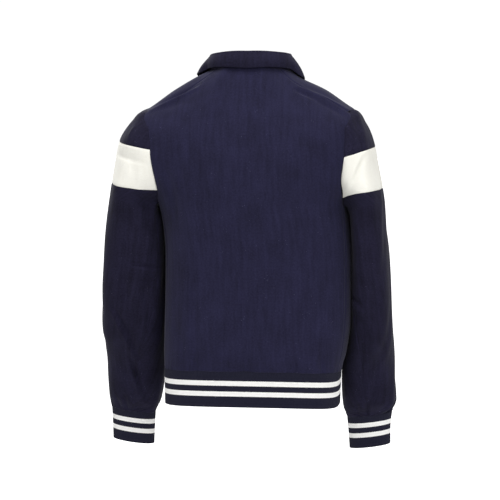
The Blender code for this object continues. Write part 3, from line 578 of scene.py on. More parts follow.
def wool(name, colour, deep, fleck, sheen, mottle):
    """Milled wool twill: a dull face with a short nap that catches light at its edges, and a fine weave
    that barely shows through it."""
    made, tree, shader = finish_of(name, Roughness=0.92, Specular_IOR_Level=0.10, Sheen_Weight=sheen,
                                   Sheen_Roughness=0.45)
    grain = add(tree, "UVMap", {}, uv_map="cloth")
    thin = add(tree, "Mapping", {"Vector": grain, "Scale": (1.0, SLUB_STRETCH, 1.0)})
    cloudy, streaky, nap, patches, uneven = (
        add(tree, "TexNoise", {"Vector": vector, "Scale": 1 / apart, "Detail": detail})
        for vector, apart, detail in ((grain, CLOUD, 3.0), (thin, SLUB, 2.0), (grain, NAP_TUFT, 2.0),
                                      (grain, FLECK_PATCH, 1.0), (thin, SLACK, 1.0)))
    shade = 0.0
    for pattern, weight in ((cloudy, 0.30), (streaky, 0.30), (nap, 0.36)):
        shade = add(tree, "Math", {0: pattern, 1: weight, 2: shade}, operation="MULTIPLY_ADD")
    light = add(tree, "MapRange", {"Value": shade, "From Min": 0.5 - mottle, "From Max": 0.5 + mottle})
    body = add(tree, "Mix", {0: light, 6: linear(deep), 7: linear(colour)}, COLOUR_MIX, data_type="RGBA")

    specks = add(tree, "TexVoronoi", {"Vector": grain, "Scale": 1 / FLECK}, "Distance", feature="F1")
    small = add(tree, "Math", {0: specks, 1: FLECK_SIZE}, operation="LESS_THAN")
    linty = add(tree, "Math", {0: patches, 1: FLECK_LIMIT}, operation="GREATER_THAN")
    lint = add(tree, "Math", {0: small, 1: linty}, operation="MULTIPLY")
    faint = add(tree, "Math", {0: lint, 1: FLECK_SHOWS}, operation="MULTIPLY")
    flecked = add(tree, "Mix", {0: faint, 6: body, 7: linear(fleck)}, COLOUR_MIX, data_type="RGBA")
    tree.links.new(flecked, shader.inputs["Base Color"])

    slanted = add(tree, "Mapping", {"Vector": grain, "Rotation": (0.0, 0.0, TWILL_LEAN)})
    twill = add(tree, "TexWave", {"Vector": slanted, "Scale": 1 / (THREAD * WAVE_REPEATS), "Distortion": 1.5,
                                  "Detail": 1.0, "Detail Scale": 2.0},
                "Fac", wave_type="BANDS", bands_direction="X")
    pile = add(tree, "Math", {0: twill, 1: 0.5, 2: nap}, operation="MULTIPLY_ADD")
    face = add(tree, "Bump", {"Strength": 0.35, "Distance": 0.0004, "Height": pile})
    slack = add(tree, "Bump", {"Strength": 0.5, "Distance": 0.0014, "Height": uneven, "Normal": face})
    tree.links.new(slack, shader.inputs["Normal"])
    return made


# distances from the rib's folded edge, in metres, between which the white yarn is knitted in
STRIPES = ((0.0222, 0.0318), (0.0432, 0.0530))
RIB_PITCH = 0.0032       # from one knitted rib to the next
COURSE = 0.0017          # the height of one row of stitches; the real one is finer, too fine to show
STITCH_LEAN = 1.6        # how far, in radians of a row, a stitch's legs lean up beside its middle
YARN = 0.0021            # changes of shade along the yarn, this far apart
YARN_FINE = 0.0016       # changes of a stripe's edge, this far apart
STRIPE_WOBBLE = 0.0009   # how far a stripe's edge steps up and down with the stitches


def rib_knit(name, colour, white, colour_deep, white_deep):
    """Wool rib knit: rows of small V-shaped stitches on the ribs, with the stripes knitted in, so that
    their edges step with the stitches."""
    made, tree, shader = finish_of(name, Roughness=0.95, Specular_IOR_Level=0.08, Sheen_Weight=0.05,
                                   Sheen_Roughness=0.5)
    grain = add(tree, "UVMap", {}, uv_map="cloth")
    across = add(tree, "SeparateXYZ", {"Vector": grain}, "X")
    up = across.node.outputs["Y"]
    edge_noise = add(tree, "TexNoise", {"Vector": grain, "Scale": 1 / YARN_FINE, "Detail": 0.0})
    wobbled = add(tree, "Math", {0: edge_noise, 1: STRIPE_WOBBLE, 2: up}, operation="MULTIPLY_ADD")
    height = add(tree, "Math", {0: wobbled, 1: -STRIPE_WOBBLE / 2}, operation="ADD")
    white_yarn = 0.0
    for low, high in STRIPES:
        above = add(tree, "Math", {0: height, 1: low}, operation="GREATER_THAN")
        below = add(tree, "Math", {0: height, 1: high}, operation="LESS_THAN")
        white_yarn = add(tree, "Math", {0: above, 1: below, 2: white_yarn}, operation="MULTIPLY_ADD")
    yarn = add(tree, "TexNoise", {"Vector": grain, "Scale": 1 / YARN, "Detail": 2.0})
    tone = add(tree, "Math", {0: yarn, 1: 0.5, 2: 0.72}, operation="MULTIPLY_ADD", use_clamp=True)
    plain, dark = (add(tree, "Mix", {0: white_yarn, 6: linear(navy), 7: linear(pale)}, COLOUR_MIX,
                       data_type="RGBA")
                   for navy, pale in ((colour, white), (colour_deep, white_deep)))
    knitted = add(tree, "Mix", {0: tone, 6: dark, 7: plain}, COLOUR_MIX, data_type="RGBA")
    tree.links.new(knitted, shader.inputs["Base Color"])

    turn = add(tree, "Math", {0: across, 1: math.tau / RIB_PITCH}, operation="MULTIPLY")
    swing = add(tree, "Math", {0: turn}, operation="SINE")
    leg = add(tree, "Math", {0: swing}, operation="ABSOLUTE")
    rise = add(tree, "Math", {0: up, 1: math.tau / COURSE}, operation="MULTIPLY")
    rows = add(tree, "Math", {0: leg, 1: STITCH_LEAN, 2: rise}, operation="MULTIPLY_ADD")
    row_wave = add(tree, "Math", {0: rows}, operation="SINE")
    stitches = add(tree, "Math", {0: yarn, 1: 0.8, 2: row_wave}, operation="MULTIPLY_ADD")
    knit = add(tree, "Bump", {"Strength": 0.6, "Distance": 0.0004, "Height": stitches})
    tree.links.new(knit, shader.inputs["Normal"])
    return made


TAPE_RIB = 0.0012        # the tape's woven ribs, this far apart


def woven_tape(name, colour, deep):
    """Woven polyester tape: tight fine ribs across it, a little smoother than the wool."""
    made, tree, shader = finish_of(name, Roughness=0.7, Specular_IOR_Level=0.35)
    grain = add(tree, "UVMap", {}, uv_map="cloth")
    ribs = add(tree, "TexWave", {"Vector": grain, "Scale": 1 / (TAPE_RIB * WAVE_REPEATS), "Distortion": 0.6},
               "Fac", bands_direction="Y")
    woven = add(tree, "Mix", {0: ribs, 6: linear(deep), 7: linear(colour)}, COLOUR_MIX, data_type="RGBA")
    tree.links.new(woven, shader.inputs["Base Color"])
    bump = add(tree, "Bump", {"Strength": 0.6, "Distance": 0.0003, "Height": ribs})
    tree.links.new(bump, shader.inputs["Normal"])
    return made


SCUFF = 0.0013           # fine scuffs on the plating, this far apart
WEAR = 0.006             # duller patches of it, this far apart


def plated(name, colour, dull):
    """Nickel plate on cast brass: bright, a little soft from tumbling, with fine scuffs."""
    made, tree, shader = finish_of(name, Metallic=1.0)
    place = add(tree, "TexCoord", {}, "Object")
    scuffs = add(tree, "TexNoise", {"Vector": place, "Scale": 1 / SCUFF, "Detail": 4.0, "Roughness": 0.6})
    soft = add(tree, "MapRange", {"Value": scuffs, "From Min": 0.35, "From Max": 0.75,
                                      "To Min": 0.26, "To Max": 0.42})
    tree.links.new(soft, shader.inputs["Roughness"])
    patches = add(tree, "TexNoise", {"Vector": place, "Scale": 1 / WEAR, "Detail": 2.0})
    worn = add(tree, "MapRange", {"Value": patches, "From Min": 0.4, "From Max": 0.7})
    surface = add(tree, "Mix", {0: worn, 6: linear(colour), 7: linear(dull)}, COLOUR_MIX, data_type="RGBA")
    tree.links.new(surface, shader.inputs["Base Color"])
    bump = add(tree, "Bump", {"Strength": 0.15, "Distance": 0.0001, "Height": scuffs})
    tree.links.new(bump, shader.inputs["Normal"])
    return made


NAVY_WOOL = wool("navy milled wool", "#282742", "#1a192c", "#8f90b4", 0.05, 0.17)
# the sleeves and collar wear a darker copy of the navy wool: painted shade, for the less light that falls on
# them
PAINTED_SHADE_WOOL = wool("navy milled wool, darker with painted shade", "#232136", "#151322", "#8f90b4", 0.03, 0.13)
WHITE_WOOL = wool("off-white milled wool", "#f4f3ec", "#e9e7dd", "#ffffff", 0.15, 0.25)
NAVY_RIB = rib_knit("navy and white rib knit", "#202030", "#fefdfb", "#11111a", "#f4f3ee")
TAPE = woven_tape("navy zip tape", "#20202c", "#14141d")
NICKEL = plated("nickel-plated brass", "#a5a39d", "#85827b")


# ---- making a cloth piece
WELD = 0.00025           # corners nearer than this are one


def cloth(name, nodes, grids, thickness, finish, inside_out=False, smoother=0):
    """A cloth piece from one or more grids, each with what moves it along its normals."""
    sheet = bmesh.new()
    grain = sheet.loops.layers.uv.new("cloth")
    width = length = area = 0.0
    for grid, moved in grids:
        normals = normals_of(grid, inside_out)
        across, down = run_along(grid, 1), run_along(grid, 0)
        across = across - across[:, across.shape[1] // 2][:, None]
        down = down[-1:] - down if grid[0, 0, 2] > grid[-1, 0, 2] else down
        width = max(width, float(np.ptp(across, axis=1).max()))
        length = max(length, float(np.ptp(down, axis=0).max()))
        rows, columns = grid.shape[:2]
        for r in range(rows - 1):
            corners = np.cross(np.diff(grid[r], axis=0), grid[r + 1, :-1] - grid[r, :-1])
            area += float(np.linalg.norm(corners, axis=-1).sum())
        grid = grid + normals * moved[..., None]
        corner = [[sheet.verts.new(point) for point in row] for row in grid]
        for r in range(rows - 1):
            for c in range(columns - 1):
                loop = [(r, c), (r, c + 1), (r + 1, c + 1), (r + 1, c)]
                if inside_out:
                    loop.reverse()
                face = sheet.faces.new([corner[a][b] for a, b in loop])
                for spot, (a, b) in zip(face.loops, loop):
                    spot[grain].uv = (across[a, b], down[a, b])
    bmesh.ops.remove_doubles(sheet, verts=sheet.verts, dist=WELD)
    mesh = bpy.data.meshes.new(name)
    sheet.to_mesh(mesh)
    sheet.free()
    mesh.materials.append(finish)
    mesh.shade_smooth()
    piece = bpy.data.objects.new(name, mesh)
    bpy.context.scene.collection.objects.link(piece)
    wall = piece.modifiers.new("wall", "SOLIDIFY")
    wall.thickness = thickness
    wall.offset = -1.0
    if smoother:
        soft = piece.modifiers.new("soft edges", "SUBSURF")
        soft.levels = soft.render_levels = smoother
    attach(piece, "jacket")
    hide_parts(*nodes)
    return piece


SEWN_ALL = ("top", "bottom", "start", "stop")


def turned_in(grid, sewn, depth=SEAM_DROP):
    """How far a piece's sewn edges turn in."""
    down, across = run_along(grid, 0), run_along(grid, 1)
    distance = {"top": down, "bottom": down[-1:] - down, "start": across, "stop": across[:, -1:] - across}
    total = np.zeros(grid.shape[:2])
    for edge in sewn:
        total = np.maximum(total, depth * np.exp(-((distance[edge] / SEAM_SOFT) ** 2)))
    return -total


def folded_grid(grid, on, inside_out, extra):
    """A grid, and how far its folds and turned edges move it."""
    return grid, relief(grid, normals_of(grid, inside_out), on) + turned_in(grid, SEWN_ALL) + extra


# ---- body. Rings run from the rib up, so that a grid's first row is its foot. Here and below, what is asked
# of stations is how many even steps a piece has, and about how long it is in metres.
GATHER, GATHER_REACH = 0.0007, 0.012       # height of the gathers over the hem, and how far up they go
BACK_PITCH, FRONT_PITCH = 0.014, 0.013
PANEL_RINGS = stations(RIB_SEAM, NECKLINE, 176, 0.62)
back_grid = across_body(PANEL_RINGS, back_edge(PANEL_RINGS, -1), back_edge(PANEL_RINGS, 1),
                        stations(0.0, 1.0, 121, 0.36))
back_grid = trim(back_grid, SEAM_LAP, HIDDEN_GAP)
side_seam = PANEL_RINGS < UNDERARM
lapped = trim(back_grid, first_column=SEAM_LAP, last_column=SEAM_LAP)
back_grid = np.where(side_seam[:, None, None], lapped, trim(back_grid, 0, 0, HIDDEN_GAP, HIDDEN_GAP))
gathers = puckers(back_grid, "first", GATHER, GATHER_REACH, BACK_PITCH)
cloth("back_panel", ["back"], [folded_grid(back_grid, "body", True, gathers)], CLOTH, NAVY_WOOL,
      inside_out=True)

SHOULDER = stations(ARMHOLE_TOP, NECKLINE, 40, 0.13)
FRONT_PANEL_RINGS = np.unique(np.concatenate([PANEL_RINGS[PANEL_RINGS < ARMHOLE_TOP], SHOULDER]))
SIDES = {"left": 1, "right": -1}
ZIP_FOLD = 0.0060        # a row of stitches holds the zip this far from the front edge
FOLD_DEEP, FOLD_WIDE = 0.0004, 0.0009      # the groove that it pulls in the cloth
for hand, side in SIDES.items():
    start, stop = front_edge(FRONT_PANEL_RINGS, side), zip_edge(FRONT_PANEL_RINGS, side)
    chest = across_body(FRONT_PANEL_RINGS, start, stop, stations(0.0, 1.0, 75, 0.20))
    chest = trim(chest, SEAM_LAP, HIDDEN_GAP)
    below = FRONT_PANEL_RINGS < ARMHOLE_TOP
    chest[below] = trim(chest, first_column=HIDDEN_GAP)[below]
    seam = back_edge(SHOULDER, side)[:, None]
    crest = front_edge(SHOULDER, side)[:, None]
    over = seam + (crest - seam) * stations(0.0, 1.0, 34, 0.10)
    strip = trim(body_point(SHOULDER[:, None], over), HIDDEN_GAP, HIDDEN_GAP, HIDDEN_GAP)
    strip[:, -1] = chest[-len(SHOULDER):, 0]
    out = side > 0
    moved = relief(chest, normals_of(chest, out), "body") + turned_in(chest, ("top", "bottom", "stop"))
    moved += puckers(chest, "first", GATHER, GATHER_REACH, FRONT_PITCH)
    moved[below] += turned_in(chest, ("start",))[below]
    from_zip = run_along(chest, 1)[:, -1:] - run_along(chest, 1)
    moved -= FOLD_DEEP * np.exp(-(((from_zip - ZIP_FOLD) / FOLD_WIDE) ** 2))
    strip_moved = relief(strip, normals_of(strip, out), "body") + turned_in(strip, ("top", "bottom", "start"))
    strip_moved[:, -1] = moved[-len(SHOULDER):, 0]
    grids = [(chest, moved), (strip, strip_moved)]
    cloth("front_panel_" + hand, ["front_" + hand], grids, CLOTH, NAVY_WOOL,
          inside_out=out)

# ---- sleeves
CUFF_GATHER, CUFF_REACH, CUFF_PITCH = 0.0011, 0.016, 0.013      # the gathers over a cuff
Tube = namedtuple("Tube", "piece node first last rows length finish slot")
SLEEVE_PIECES = [
    Tube("cap_panel_", "sleeve_cap_", CROWN, BAND_TOP, 40, 0.10, PAINTED_SHADE_WOOL, "navy_wool"),
    Tube("band_panel_", "sleeve_band_", BAND_TOP, BAND_FOOT, 34, 0.09, WHITE_WOOL, "off_white_wool"),
    Tube("sleeve_long_", "sleeve_lower_", BAND_FOOT, CUFF_SEAM, 180, 0.46, PAINTED_SHADE_WOOL, "navy_wool"),
]
# below the underarm a sleeve's inner side swells until it lies against the body: row, distance
SWELL = {"left": ([5.8, 6.0, 6.35, 7.0, 8.0], [0.0, 0.0020, 0.0048, 0.0015, 0.0]),
         "right": ([6.0, 6.5, 7.0, 9.5, 10.5], [0.0, 0.0018, 0.0022, 0.0022, 0.0])}


def swelling(grid, rows, hand, side):
    """How far a sleeve's inner side swells at each point."""
    inward = np.clip(-side * normals_of(grid, side < 0)[..., 0], 0, 1)
    return np.interp(rows, *SWELL[hand], left=0.0, right=0.0)[:, None] * inward ** 2


for hand, side in SIDES.items():
    for tube in SLEEVE_PIECES:
        rows = stations(tube.first, tube.last, tube.rows, tube.length)
        middle = (tube.first + tube.last) / 2
        shares = evened(sleeve_point(middle, FINE, side), stations(0.0, 1.0, 171, 0.42))
        grid = sleeve_point(rows[:, None], shares[None, :], side)
        head_lap = ARMHOLE_LAP if tube.first == CROWN else HIDDEN_GAP
        foot_lap = SEAM_LAP if tube.last == CUFF_SEAM else HIDDEN_GAP
        grid = trim(grid, head_lap, foot_lap)
        head = rows < SLEEVE_UNDERARM
        grid[head] = trim(grid, first_column=ARMHOLE_LAP, last_column=ARMHOLE_LAP)[head]
        extra = swelling(grid, rows, hand, side)
        if tube.last == CUFF_SEAM:
            extra = extra + puckers(grid, "last", CUFF_GATHER, CUFF_REACH, CUFF_PITCH)
        folded = folded_grid(grid, hand, side < 0, extra)
        cloth(tube.piece + hand, [tube.node + hand], [folded], CLOTH, tube.finish,
              inside_out=side < 0)


# ---- rib knit: cuffs and hem
RIB_GROOVE = 0.0007      # how deep the grooves between ribs are
RIB_ROUND = 0.8          # how round a rib's back is: at 1 it is half a wave
RIB_DROP = 0.0007        # the rib's sewn edge turns in by this much
RIB_POINTS = 4           # columns of points to a rib


def ribbed(grid, ribs, sewn):
    """Knitted ribs down a grid: round backs with narrow grooves between them."""
    share = np.linspace(0, 1, grid.shape[1])       # the columns lie evenly round the piece
    groove = 1 - np.abs(np.sin(math.pi * ribs * share)) ** RIB_ROUND
    return grid, -RIB_GROOVE * groove[None, :] + turned_in(grid, (sewn,), RIB_DROP)


def rib_columns(length):
    """How many ribs a length of knit has, and where its columns of points lie."""
    ribs = round(length / RIB_PITCH)
    return ribs, np.linspace(0, 1, RIB_POINTS * ribs + 1)


CUFF_GIRTH, HEM_BACK, HEM_FRONT = 0.226, 0.42, 0.27      # lengths that ribs are counted from
RIB_MEET = -0.0004       # the rib's rounded ends reach this far past the side seam, and so just meet
for hand, side in SIDES.items():
    ribs, shares = rib_columns(CUFF_GIRTH)
    shares = evened(sleeve_point(CUFF_SEAM + 1, FINE, side), shares)
    rows = stations(CUFF_SEAM, CUFF_EDGE, 6, 0.065, RIB_STEPS)
    grid = sleeve_point(rows[:, None], shares[None, :], side)
    cloth("rib_cuff_" + hand, ["cuff_" + hand], [ribbed(grid, ribs, "top")], RIB, NAVY_RIB,
          inside_out=side < 0, smoother=1)
HEM_RINGS = stations(0.0, 1.0, 6, 0.072, RIB_STEPS)
ribs, shares = rib_columns(HEM_BACK)
grid = across_body(HEM_RINGS, back_edge(HEM_RINGS, -1), back_edge(HEM_RINGS, 1), shares)
grid = trim(grid, 0, 0, RIB_MEET, RIB_MEET)
cloth("rib_hem_back", ["hem_rib_back"], [ribbed(grid, ribs, "bottom")], RIB, NAVY_RIB,
      inside_out=True, smoother=1)
for hand, side in SIDES.items():
    ribs, shares = rib_columns(HEM_FRONT)
    grid = across_body(HEM_RINGS, back_edge(HEM_RINGS, side), zip_edge(HEM_RINGS, side), shares)
    grid = trim(grid, 0, 0, RIB_MEET)
    cloth("rib_hem_front_" + hand, ["hem_rib_front_" + hand], [ribbed(grid, ribs, "bottom")], RIB, NAVY_RIB,
          inside_out=side > 0, smoother=1)

# ---- collar. Its foot turns in behind the neck seam.
NECK_TURN = 0.0060
TURN_STEPS = (0.0020, 0.0008)      # and rows of points on the way there
TURN_CLEAR = 0.0006
around = np.linspace(-(len(COLLAR) - 1), len(COLLAR) - 1, 101)
shares = np.unique(np.concatenate([np.linspace(0, STAND_SHARE, 9), np.linspace(STAND_SHARE, FOLD_SHARE, 9),
                                   np.linspace(FOLD_SHARE, 1, 15)]))
grid = np.stack([collar_point(abs(turn), shares, 1 if turn >= 0 else -1) for turn in around], axis=1)
foot = grid[0] - grid[1]
foot = foot / np.linalg.norm(foot, axis=-1, keepdims=True)
away = grid[0] * [1.0, 1.0, 0.0] / np.linalg.norm(grid[0, :, :2], axis=-1, keepdims=True)
turned_under = [grid[0] + foot * step - away * (COLLAR_WALL + TURN_CLEAR) * min(1.0, step / TURN_STEPS[0])
                for step in (NECK_TURN, *TURN_STEPS)]
grid = np.concatenate([turned_under, grid])
# the collar takes the sleeves' darker copy of the navy wool, with its painted shade
cloth("fold_collar", ["collar"], [(grid, np.zeros(grid.shape[:2]))], COLLAR_WALL, PAINTED_SHADE_WOOL,
      smoother=1)


def zip_point(ring, x, inset):
    """A point of the zip: x from the middle, and inset behind the body's face."""
    ring, x = np.broadcast_arrays(np.asarray(ring, float), np.asarray(x, float))
    reach = np.where(x >= 0, smooth(BODY, "left", ring), smooth(BODY, "right", ring))
    lean = np.arcsin((np.abs(x) / reach) ** (smooth(BODY, "square_front", ring) / 2))
    angle = np.where(x >= 0, math.pi - lean, lean - math.pi)
    return body_point(ring, angle) - face_normal(ring, np.full_like(ring, math.pi)) * inset


def ring_at(level):
    """The ring whose centre front is at this height."""
    rings = np.linspace(0, NECKLINE, 1401)
    return float(np.interp(level, body_point(rings, math.pi)[:, 2], rings))


# ---- zip: tapes, teeth, slider, pull and stop
ZIP_RINGS = np.array([0.03, 0.33, 0.67, 1, 1.5, 2, 3.3, 5, 7, 9, 11, 12, 12.6, 13.3, 13.7])
turn_point = zip_point(SLIDER_RING, 0.0, 0.0)
slider_top = zip_point(ring_at(turn_point[2] + SLIDER[2] / 2), 0.0, 0.0)
slider_foot = zip_point(ring_at(turn_point[2] - SLIDER[2] / 2), 0.0, 0.0)
slope = math.atan2(slider_top[1] - slider_foot[1], slider_top[2] - slider_foot[2])
post_foot = turn_point[2] + (SLIDER[2] / 2 - SLIDER_POST[1] - 2 * SLIDER_CLEAR) * math.cos(slope)
stop_top = BODY[0].level + STOP_BOX[2] + 2 * SEAM_GAP
TOOTH = (0.0036, 0.0011, 0.0022)      # across the chain, along it, and through it
TOOTH_EDGE = 0.0003      # its edges are cut off by this much
TOOTH_PITCH = 0.0022
TAPE_TOP = 13.93         # the ring at which the zip's tape ends, with the front's own top edge


def finished(name, mesh, node, body, edge=0.0):
    """A hard piece in place of its CAD node."""
    mesh.materials.append(NICKEL)
    piece = bpy.data.objects.new(name, mesh)
    bpy.context.scene.collection.objects.link(piece)
    if edge:
        round_over = piece.modifiers.new("rounded edges", "BEVEL")
        round_over.width = edge
        round_over.segments = 3
        round_over.limit_method = "ANGLE"
        mesh.shade_smooth()
    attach(piece, body)
    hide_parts(node)


def block(shape, size, centre):
    """A box added to a bmesh."""
    made = bmesh.ops.create_cube(shape, size=1.0)["verts"]
    bmesh.ops.scale(shape, vec=size, verts=made)
    bmesh.ops.translate(shape, vec=centre, verts=made)


def mesh_of(name, shape, matrix=None):
    """A bmesh made into a mesh, in its place."""
    mesh = bpy.data.meshes.new(name)
    shape.to_mesh(mesh)
    shape.free()
    if matrix:
        mesh.transform(matrix)
    return mesh


tooth = bmesh.new()
block(tooth, TOOTH, (0, 0, 0))
bmesh.ops.bevel(tooth, geom=tooth.edges, offset=TOOTH_EDGE, segments=1, affect="EDGES")
tooth.verts.index_update()
TOOTH_POINTS = np.array([v.co for v in tooth.verts])
TOOTH_FACES = [[v.index for v in face.verts] for face in tooth.faces]
tooth.free()
chain_foot, chain_head = ring_at(stop_top + SEAM_GAP), ring_at(post_foot)
fine_rings = np.linspace(chain_foot, chain_head, 500)
chain_line = zip_point(fine_rings, 0.0, CHAIN_INSET + CHAIN_THICK / 2)
chain_run = run_along(chain_line[:, None], 0)[:, 0]
for hand, side in SIDES.items():
    inner, outer = side * (CHAIN_WIDTH / 2 + SEAM_GAP), side * (CHAIN_WIDTH / 2 + TAPE_WIDTH)
    tape_rings = stations(ZIP_RINGS[0], TAPE_TOP, 160, 0.6)
    tape = zip_point(tape_rings[:, None], np.linspace(inner, outer, 9)[None, :], RIB + 2 * SEAM_GAP)
    flat = np.zeros(tape.shape[:2])
    cloth("tape_" + hand, ["zip_tape_" + hand], [(tape, flat)], TAPE_THICK, TAPE,
          inside_out=side < 0)
    starts = np.arange(TOOTH_PITCH * (0.5 if side > 0 else 1.0), chain_run[-1] - TOOTH[1] / 2, TOOTH_PITCH)
    points, faces = [], []
    for begin in starts:
        place = np.array([np.interp(begin, chain_run, chain_line[:, k]) for k in range(3)])
        ahead = np.array([np.interp(begin + 0.001, chain_run, chain_line[:, k]) for k in range(3)])
        up = (ahead - place) / np.linalg.norm(ahead - place)
        out = np.array([0.0, -up[2], up[1]])
        base = np.stack([[1.0, 0.0, 0.0], up, out])
        middle = place + np.array([side * (CHAIN_WIDTH / 2 - TOOTH[0] / 2), 0.0, 0.0])
        faces += [[i + len(points) * len(TOOTH_POINTS) for i in face] for face in TOOTH_FACES]
        points.append(middle + TOOTH_POINTS @ base)
    mesh = bpy.data.meshes.new("teeth_" + hand)
    mesh.from_pydata(np.concatenate(points), [], faces)
    finished("teeth_" + hand, mesh, "zip_teeth_" + hand, "jacket")

plate_face = CHAIN_INSET - SLIDER_CLEAR - SLIDER[1]
turn_height = BRIDGE_ROOM / 2 - plate_face
pull_axis = turn_point + face_normal(np.array(SLIDER_RING), np.array(math.pi)) * turn_height
in_place = Matrix.Translation(Vector(pull_axis)) @ Matrix.Rotation(-slope, 4, "X")
plate_y = BRIDGE_ROOM / 2 + SLIDER[1] / 2
chain_room = CHAIN_THICK + 2 * SLIDER_CLEAR
back_y = plate_y + SLIDER[1] + chain_room


def plate(shape, outline, thickness, y):
    """A flat plate: its outline in x and z, through its thickness about y."""
    face = shape.faces.new([shape.verts.new((x, y - thickness / 2, z)) for x, z in outline])
    grown = bmesh.ops.extrude_face_region(shape, geom=[face])["geom"]
    far_side = [part for part in grown if isinstance(part, bmesh.types.BMVert)]
    bmesh.ops.translate(shape, vec=(0, thickness, 0), verts=far_side)


def shield(width, height, waist):
    """The slider's plate: wide at its shoulders, narrower at its foot."""
    right = [(0.22, 0.50), (0.42, 0.42), (0.50, 0.26), (0.49, 0.02), (waist, -0.30), (waist - 0.03, -0.44),
             (0.24, -0.50)]
    outline = right + [(-x, z) for x, z in reversed(right)]
    return [(x * width, z * height) for x, z in outline]


shape = bmesh.new()
for y in (plate_y, back_y):
    plate(shape, shield(SLIDER[0], SLIDER[2], 0.38), SLIDER[1], y)
block(shape, (SLIDER_POST[0], chain_room + SLIDER[1], SLIDER_POST[1]),
      (0, (plate_y + back_y) / 2, SLIDER[2] / 2 - SLIDER_POST[1] / 2 - 0.0004))
leg_size, leg_y = (BRIDGE[0], BRIDGE_ROOM + BRIDGE[1] + 2 * JOIN, BRIDGE[1]), JOIN - BRIDGE[1] / 2
for end in (-1, 1):
    block(shape, leg_size, (0, leg_y, end * (BRIDGE[2] - BRIDGE[1]) / 2))
block(shape, BRIDGE, (0, -(BRIDGE_ROOM + BRIDGE[1]) / 2, 0))
bmesh.ops.recalc_face_normals(shape, faces=shape.faces)
finished("slider", mesh_of("slider", shape, in_place), "zip_slider", "jacket", edge=0.00035)

# the pull: a rounded tab with an eye, both drawn as rings of the same number of points
PULL_POINTS = 40
turns = np.linspace(0, 2 * math.pi, PULL_POINTS, endpoint=False)


def soft_box(width, height, middle, square):
    """A ring of points as square as asked, in x and z."""
    across, along = rounded(turns, square)
    return np.stack([across * width / 2, middle + along * height / 2], axis=-1)


eye_z = -PULL[1] / 2 - PULL_EYE[1] / 2
pull_middle = PULL[1] / 2 - PULL[2] / 2
outer_ring = soft_box(PULL[0], PULL[2], pull_middle, 5.0)
eye_ring = soft_box(PULL_EYE[0], PULL_EYE[1], eye_z, 4.0)
shape = bmesh.new()
rings = [[shape.verts.new((x, y, z)) for x, z in ring]
         for y in (-PULL[1] / 2, PULL[1] / 2) for ring in (outer_ring, eye_ring)]
for k in range(PULL_POINTS):
    n = (k + 1) % PULL_POINTS
    for one, other in ((0, 1), (1, 3), (3, 2), (2, 0)):
        shape.faces.new([rings[one][k], rings[one][n], rings[other][n], rings[other][k]])
bmesh.ops.recalc_face_normals(shape, faces=shape.faces)
finished("pull_tab", mesh_of("pull_tab", shape, in_place), "zip_pull", "pull_tab", edge=0.0003)

shape = bmesh.new()
foot = zip_point(0.05, 0.0, STOP_INSET + STOP_BOX[1] / 2)
block(shape, STOP_BOX, (0.0, foot[1], BODY[0].level + SEAM_GAP + STOP_BOX[2] / 2))
finished("zip_foot", mesh_of("zip_foot", shape), "zip_stop", "jacket", edge=0.0005)


# ---- studio: a pale floor as far down as a wearer's shoulders are high, soft light, and a pale room
def lamp(name, place, aim, size, power):
    """A round soft light."""
    data = bpy.data.lights.new(name, "AREA")
    data.shape = "DISK"
    data.size = size
    data.energy = power
    made = bpy.data.objects.new(name, data)
    made.location = place
    made.rotation_euler = (Vector(aim) - Vector(place)).to_track_quat("-Z", "Y").to_euler()
    bpy.context.scene.collection.objects.link(made)


SHOULDER_HEIGHT = 1.40
FLOOR_REACH = 30.0
FLOOR_GLOW = 0.9
ROOM_LIGHT = 0.57        # how strongly the room lights the cloth
ROOM_SEEN = 1.04         # how bright it is where it is seen itself, or in the metal
shape = bmesh.new()
bmesh.ops.create_grid(shape, x_segments=1, y_segments=1, size=FLOOR_REACH)
floor_mesh = mesh_of("floor", shape, Matrix.Translation((0.0, 0.0, -SHOULDER_HEIGHT)))
floor_finish, floor_tree, floor_shader = finish_of("pale painted floor", Roughness=0.9,
                                                   Specular_IOR_Level=0.2)
floor_shader.inputs["Base Color"].default_value = linear("#f2f2f2")
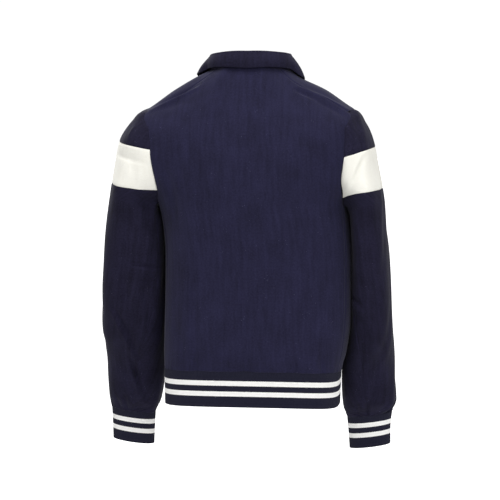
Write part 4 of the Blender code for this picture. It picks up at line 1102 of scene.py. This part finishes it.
# it is lit as any floor is, and looks nearly white where it is seen itself
is_seen = add(floor_tree, "LightPath", {}, "Is Camera Ray")
white = add(floor_tree, "Emission", {"Color": (1.0, 1.0, 1.0, 1.0), "Strength": FLOOR_GLOW})
lit = floor_shader.outputs[0]
bright = add(floor_tree, "AddShader", {0: lit, 1: white})
pick = add(floor_tree, "MixShader", {0: is_seen, 1: lit, 2: bright})
floor_tree.links.new(pick, floor_tree.nodes["Material Output"].inputs["Surface"])
floor_mesh.materials.append(floor_finish)
floor = bpy.data.objects.new("floor", floor_mesh)
bpy.context.scene.collection.objects.link(floor)

room = bpy.data.worlds.new("pale room")
bpy.context.scene.world = room
room.use_nodes = True
tree = room.node_tree
camera_ray = add(tree, "LightPath", {}, "Is Camera Ray")
rays = camera_ray.node.outputs
mirrored = add(tree, "Math", {0: camera_ray, 1: rays["Is Glossy Ray"]}, operation="ADD")
direct = add(tree, "Math", {0: mirrored, 1: rays["Is Transmission Ray"]}, operation="ADD", use_clamp=True)
strength = add(tree, "Math", {0: direct, 1: ROOM_SEEN - ROOM_LIGHT, 2: ROOM_LIGHT}, operation="MULTIPLY_ADD")
tree.links.new(strength, tree.nodes["Background"].inputs["Strength"])
tree.nodes["Background"].inputs["Color"].default_value = (1.0, 1.0, 1.0, 1.0)
CENTRE = (0.0, 0.0, -0.35)
lamp("top light", (0.2, 0.5, 1.9), CENTRE, 1.6, 36)
lamp("light behind the camera", (-1.6, 3.0, 0.9), CENTRE, 2.2, 46)
lamp("light on the other side", (1.8, -2.4, 1.0), CENTRE, 2.2, 46)

# ---- camera: level with the neck, a little to the wearer's right, looking down at the middle
DISTANCE = 4.0
YAW = math.radians(7.0)
AIM = Vector((0.003, 0.0, -0.35))
camera_data = bpy.data.cameras.new("camera")
camera_data.lens = 144.0
camera_data.sensor_width = 36.0
camera = bpy.data.objects.new("camera", camera_data)
camera.location = (AIM.x - DISTANCE * math.sin(YAW), DISTANCE * math.cos(YAW), 0.0)
camera.rotation_euler = (AIM - camera.location).to_track_quat("-Z", "Y").to_euler()
bpy.context.scene.collection.objects.link(camera)
bpy.context.scene.camera = camera
bpy.context.scene.view_settings.view_transform = "Standard"
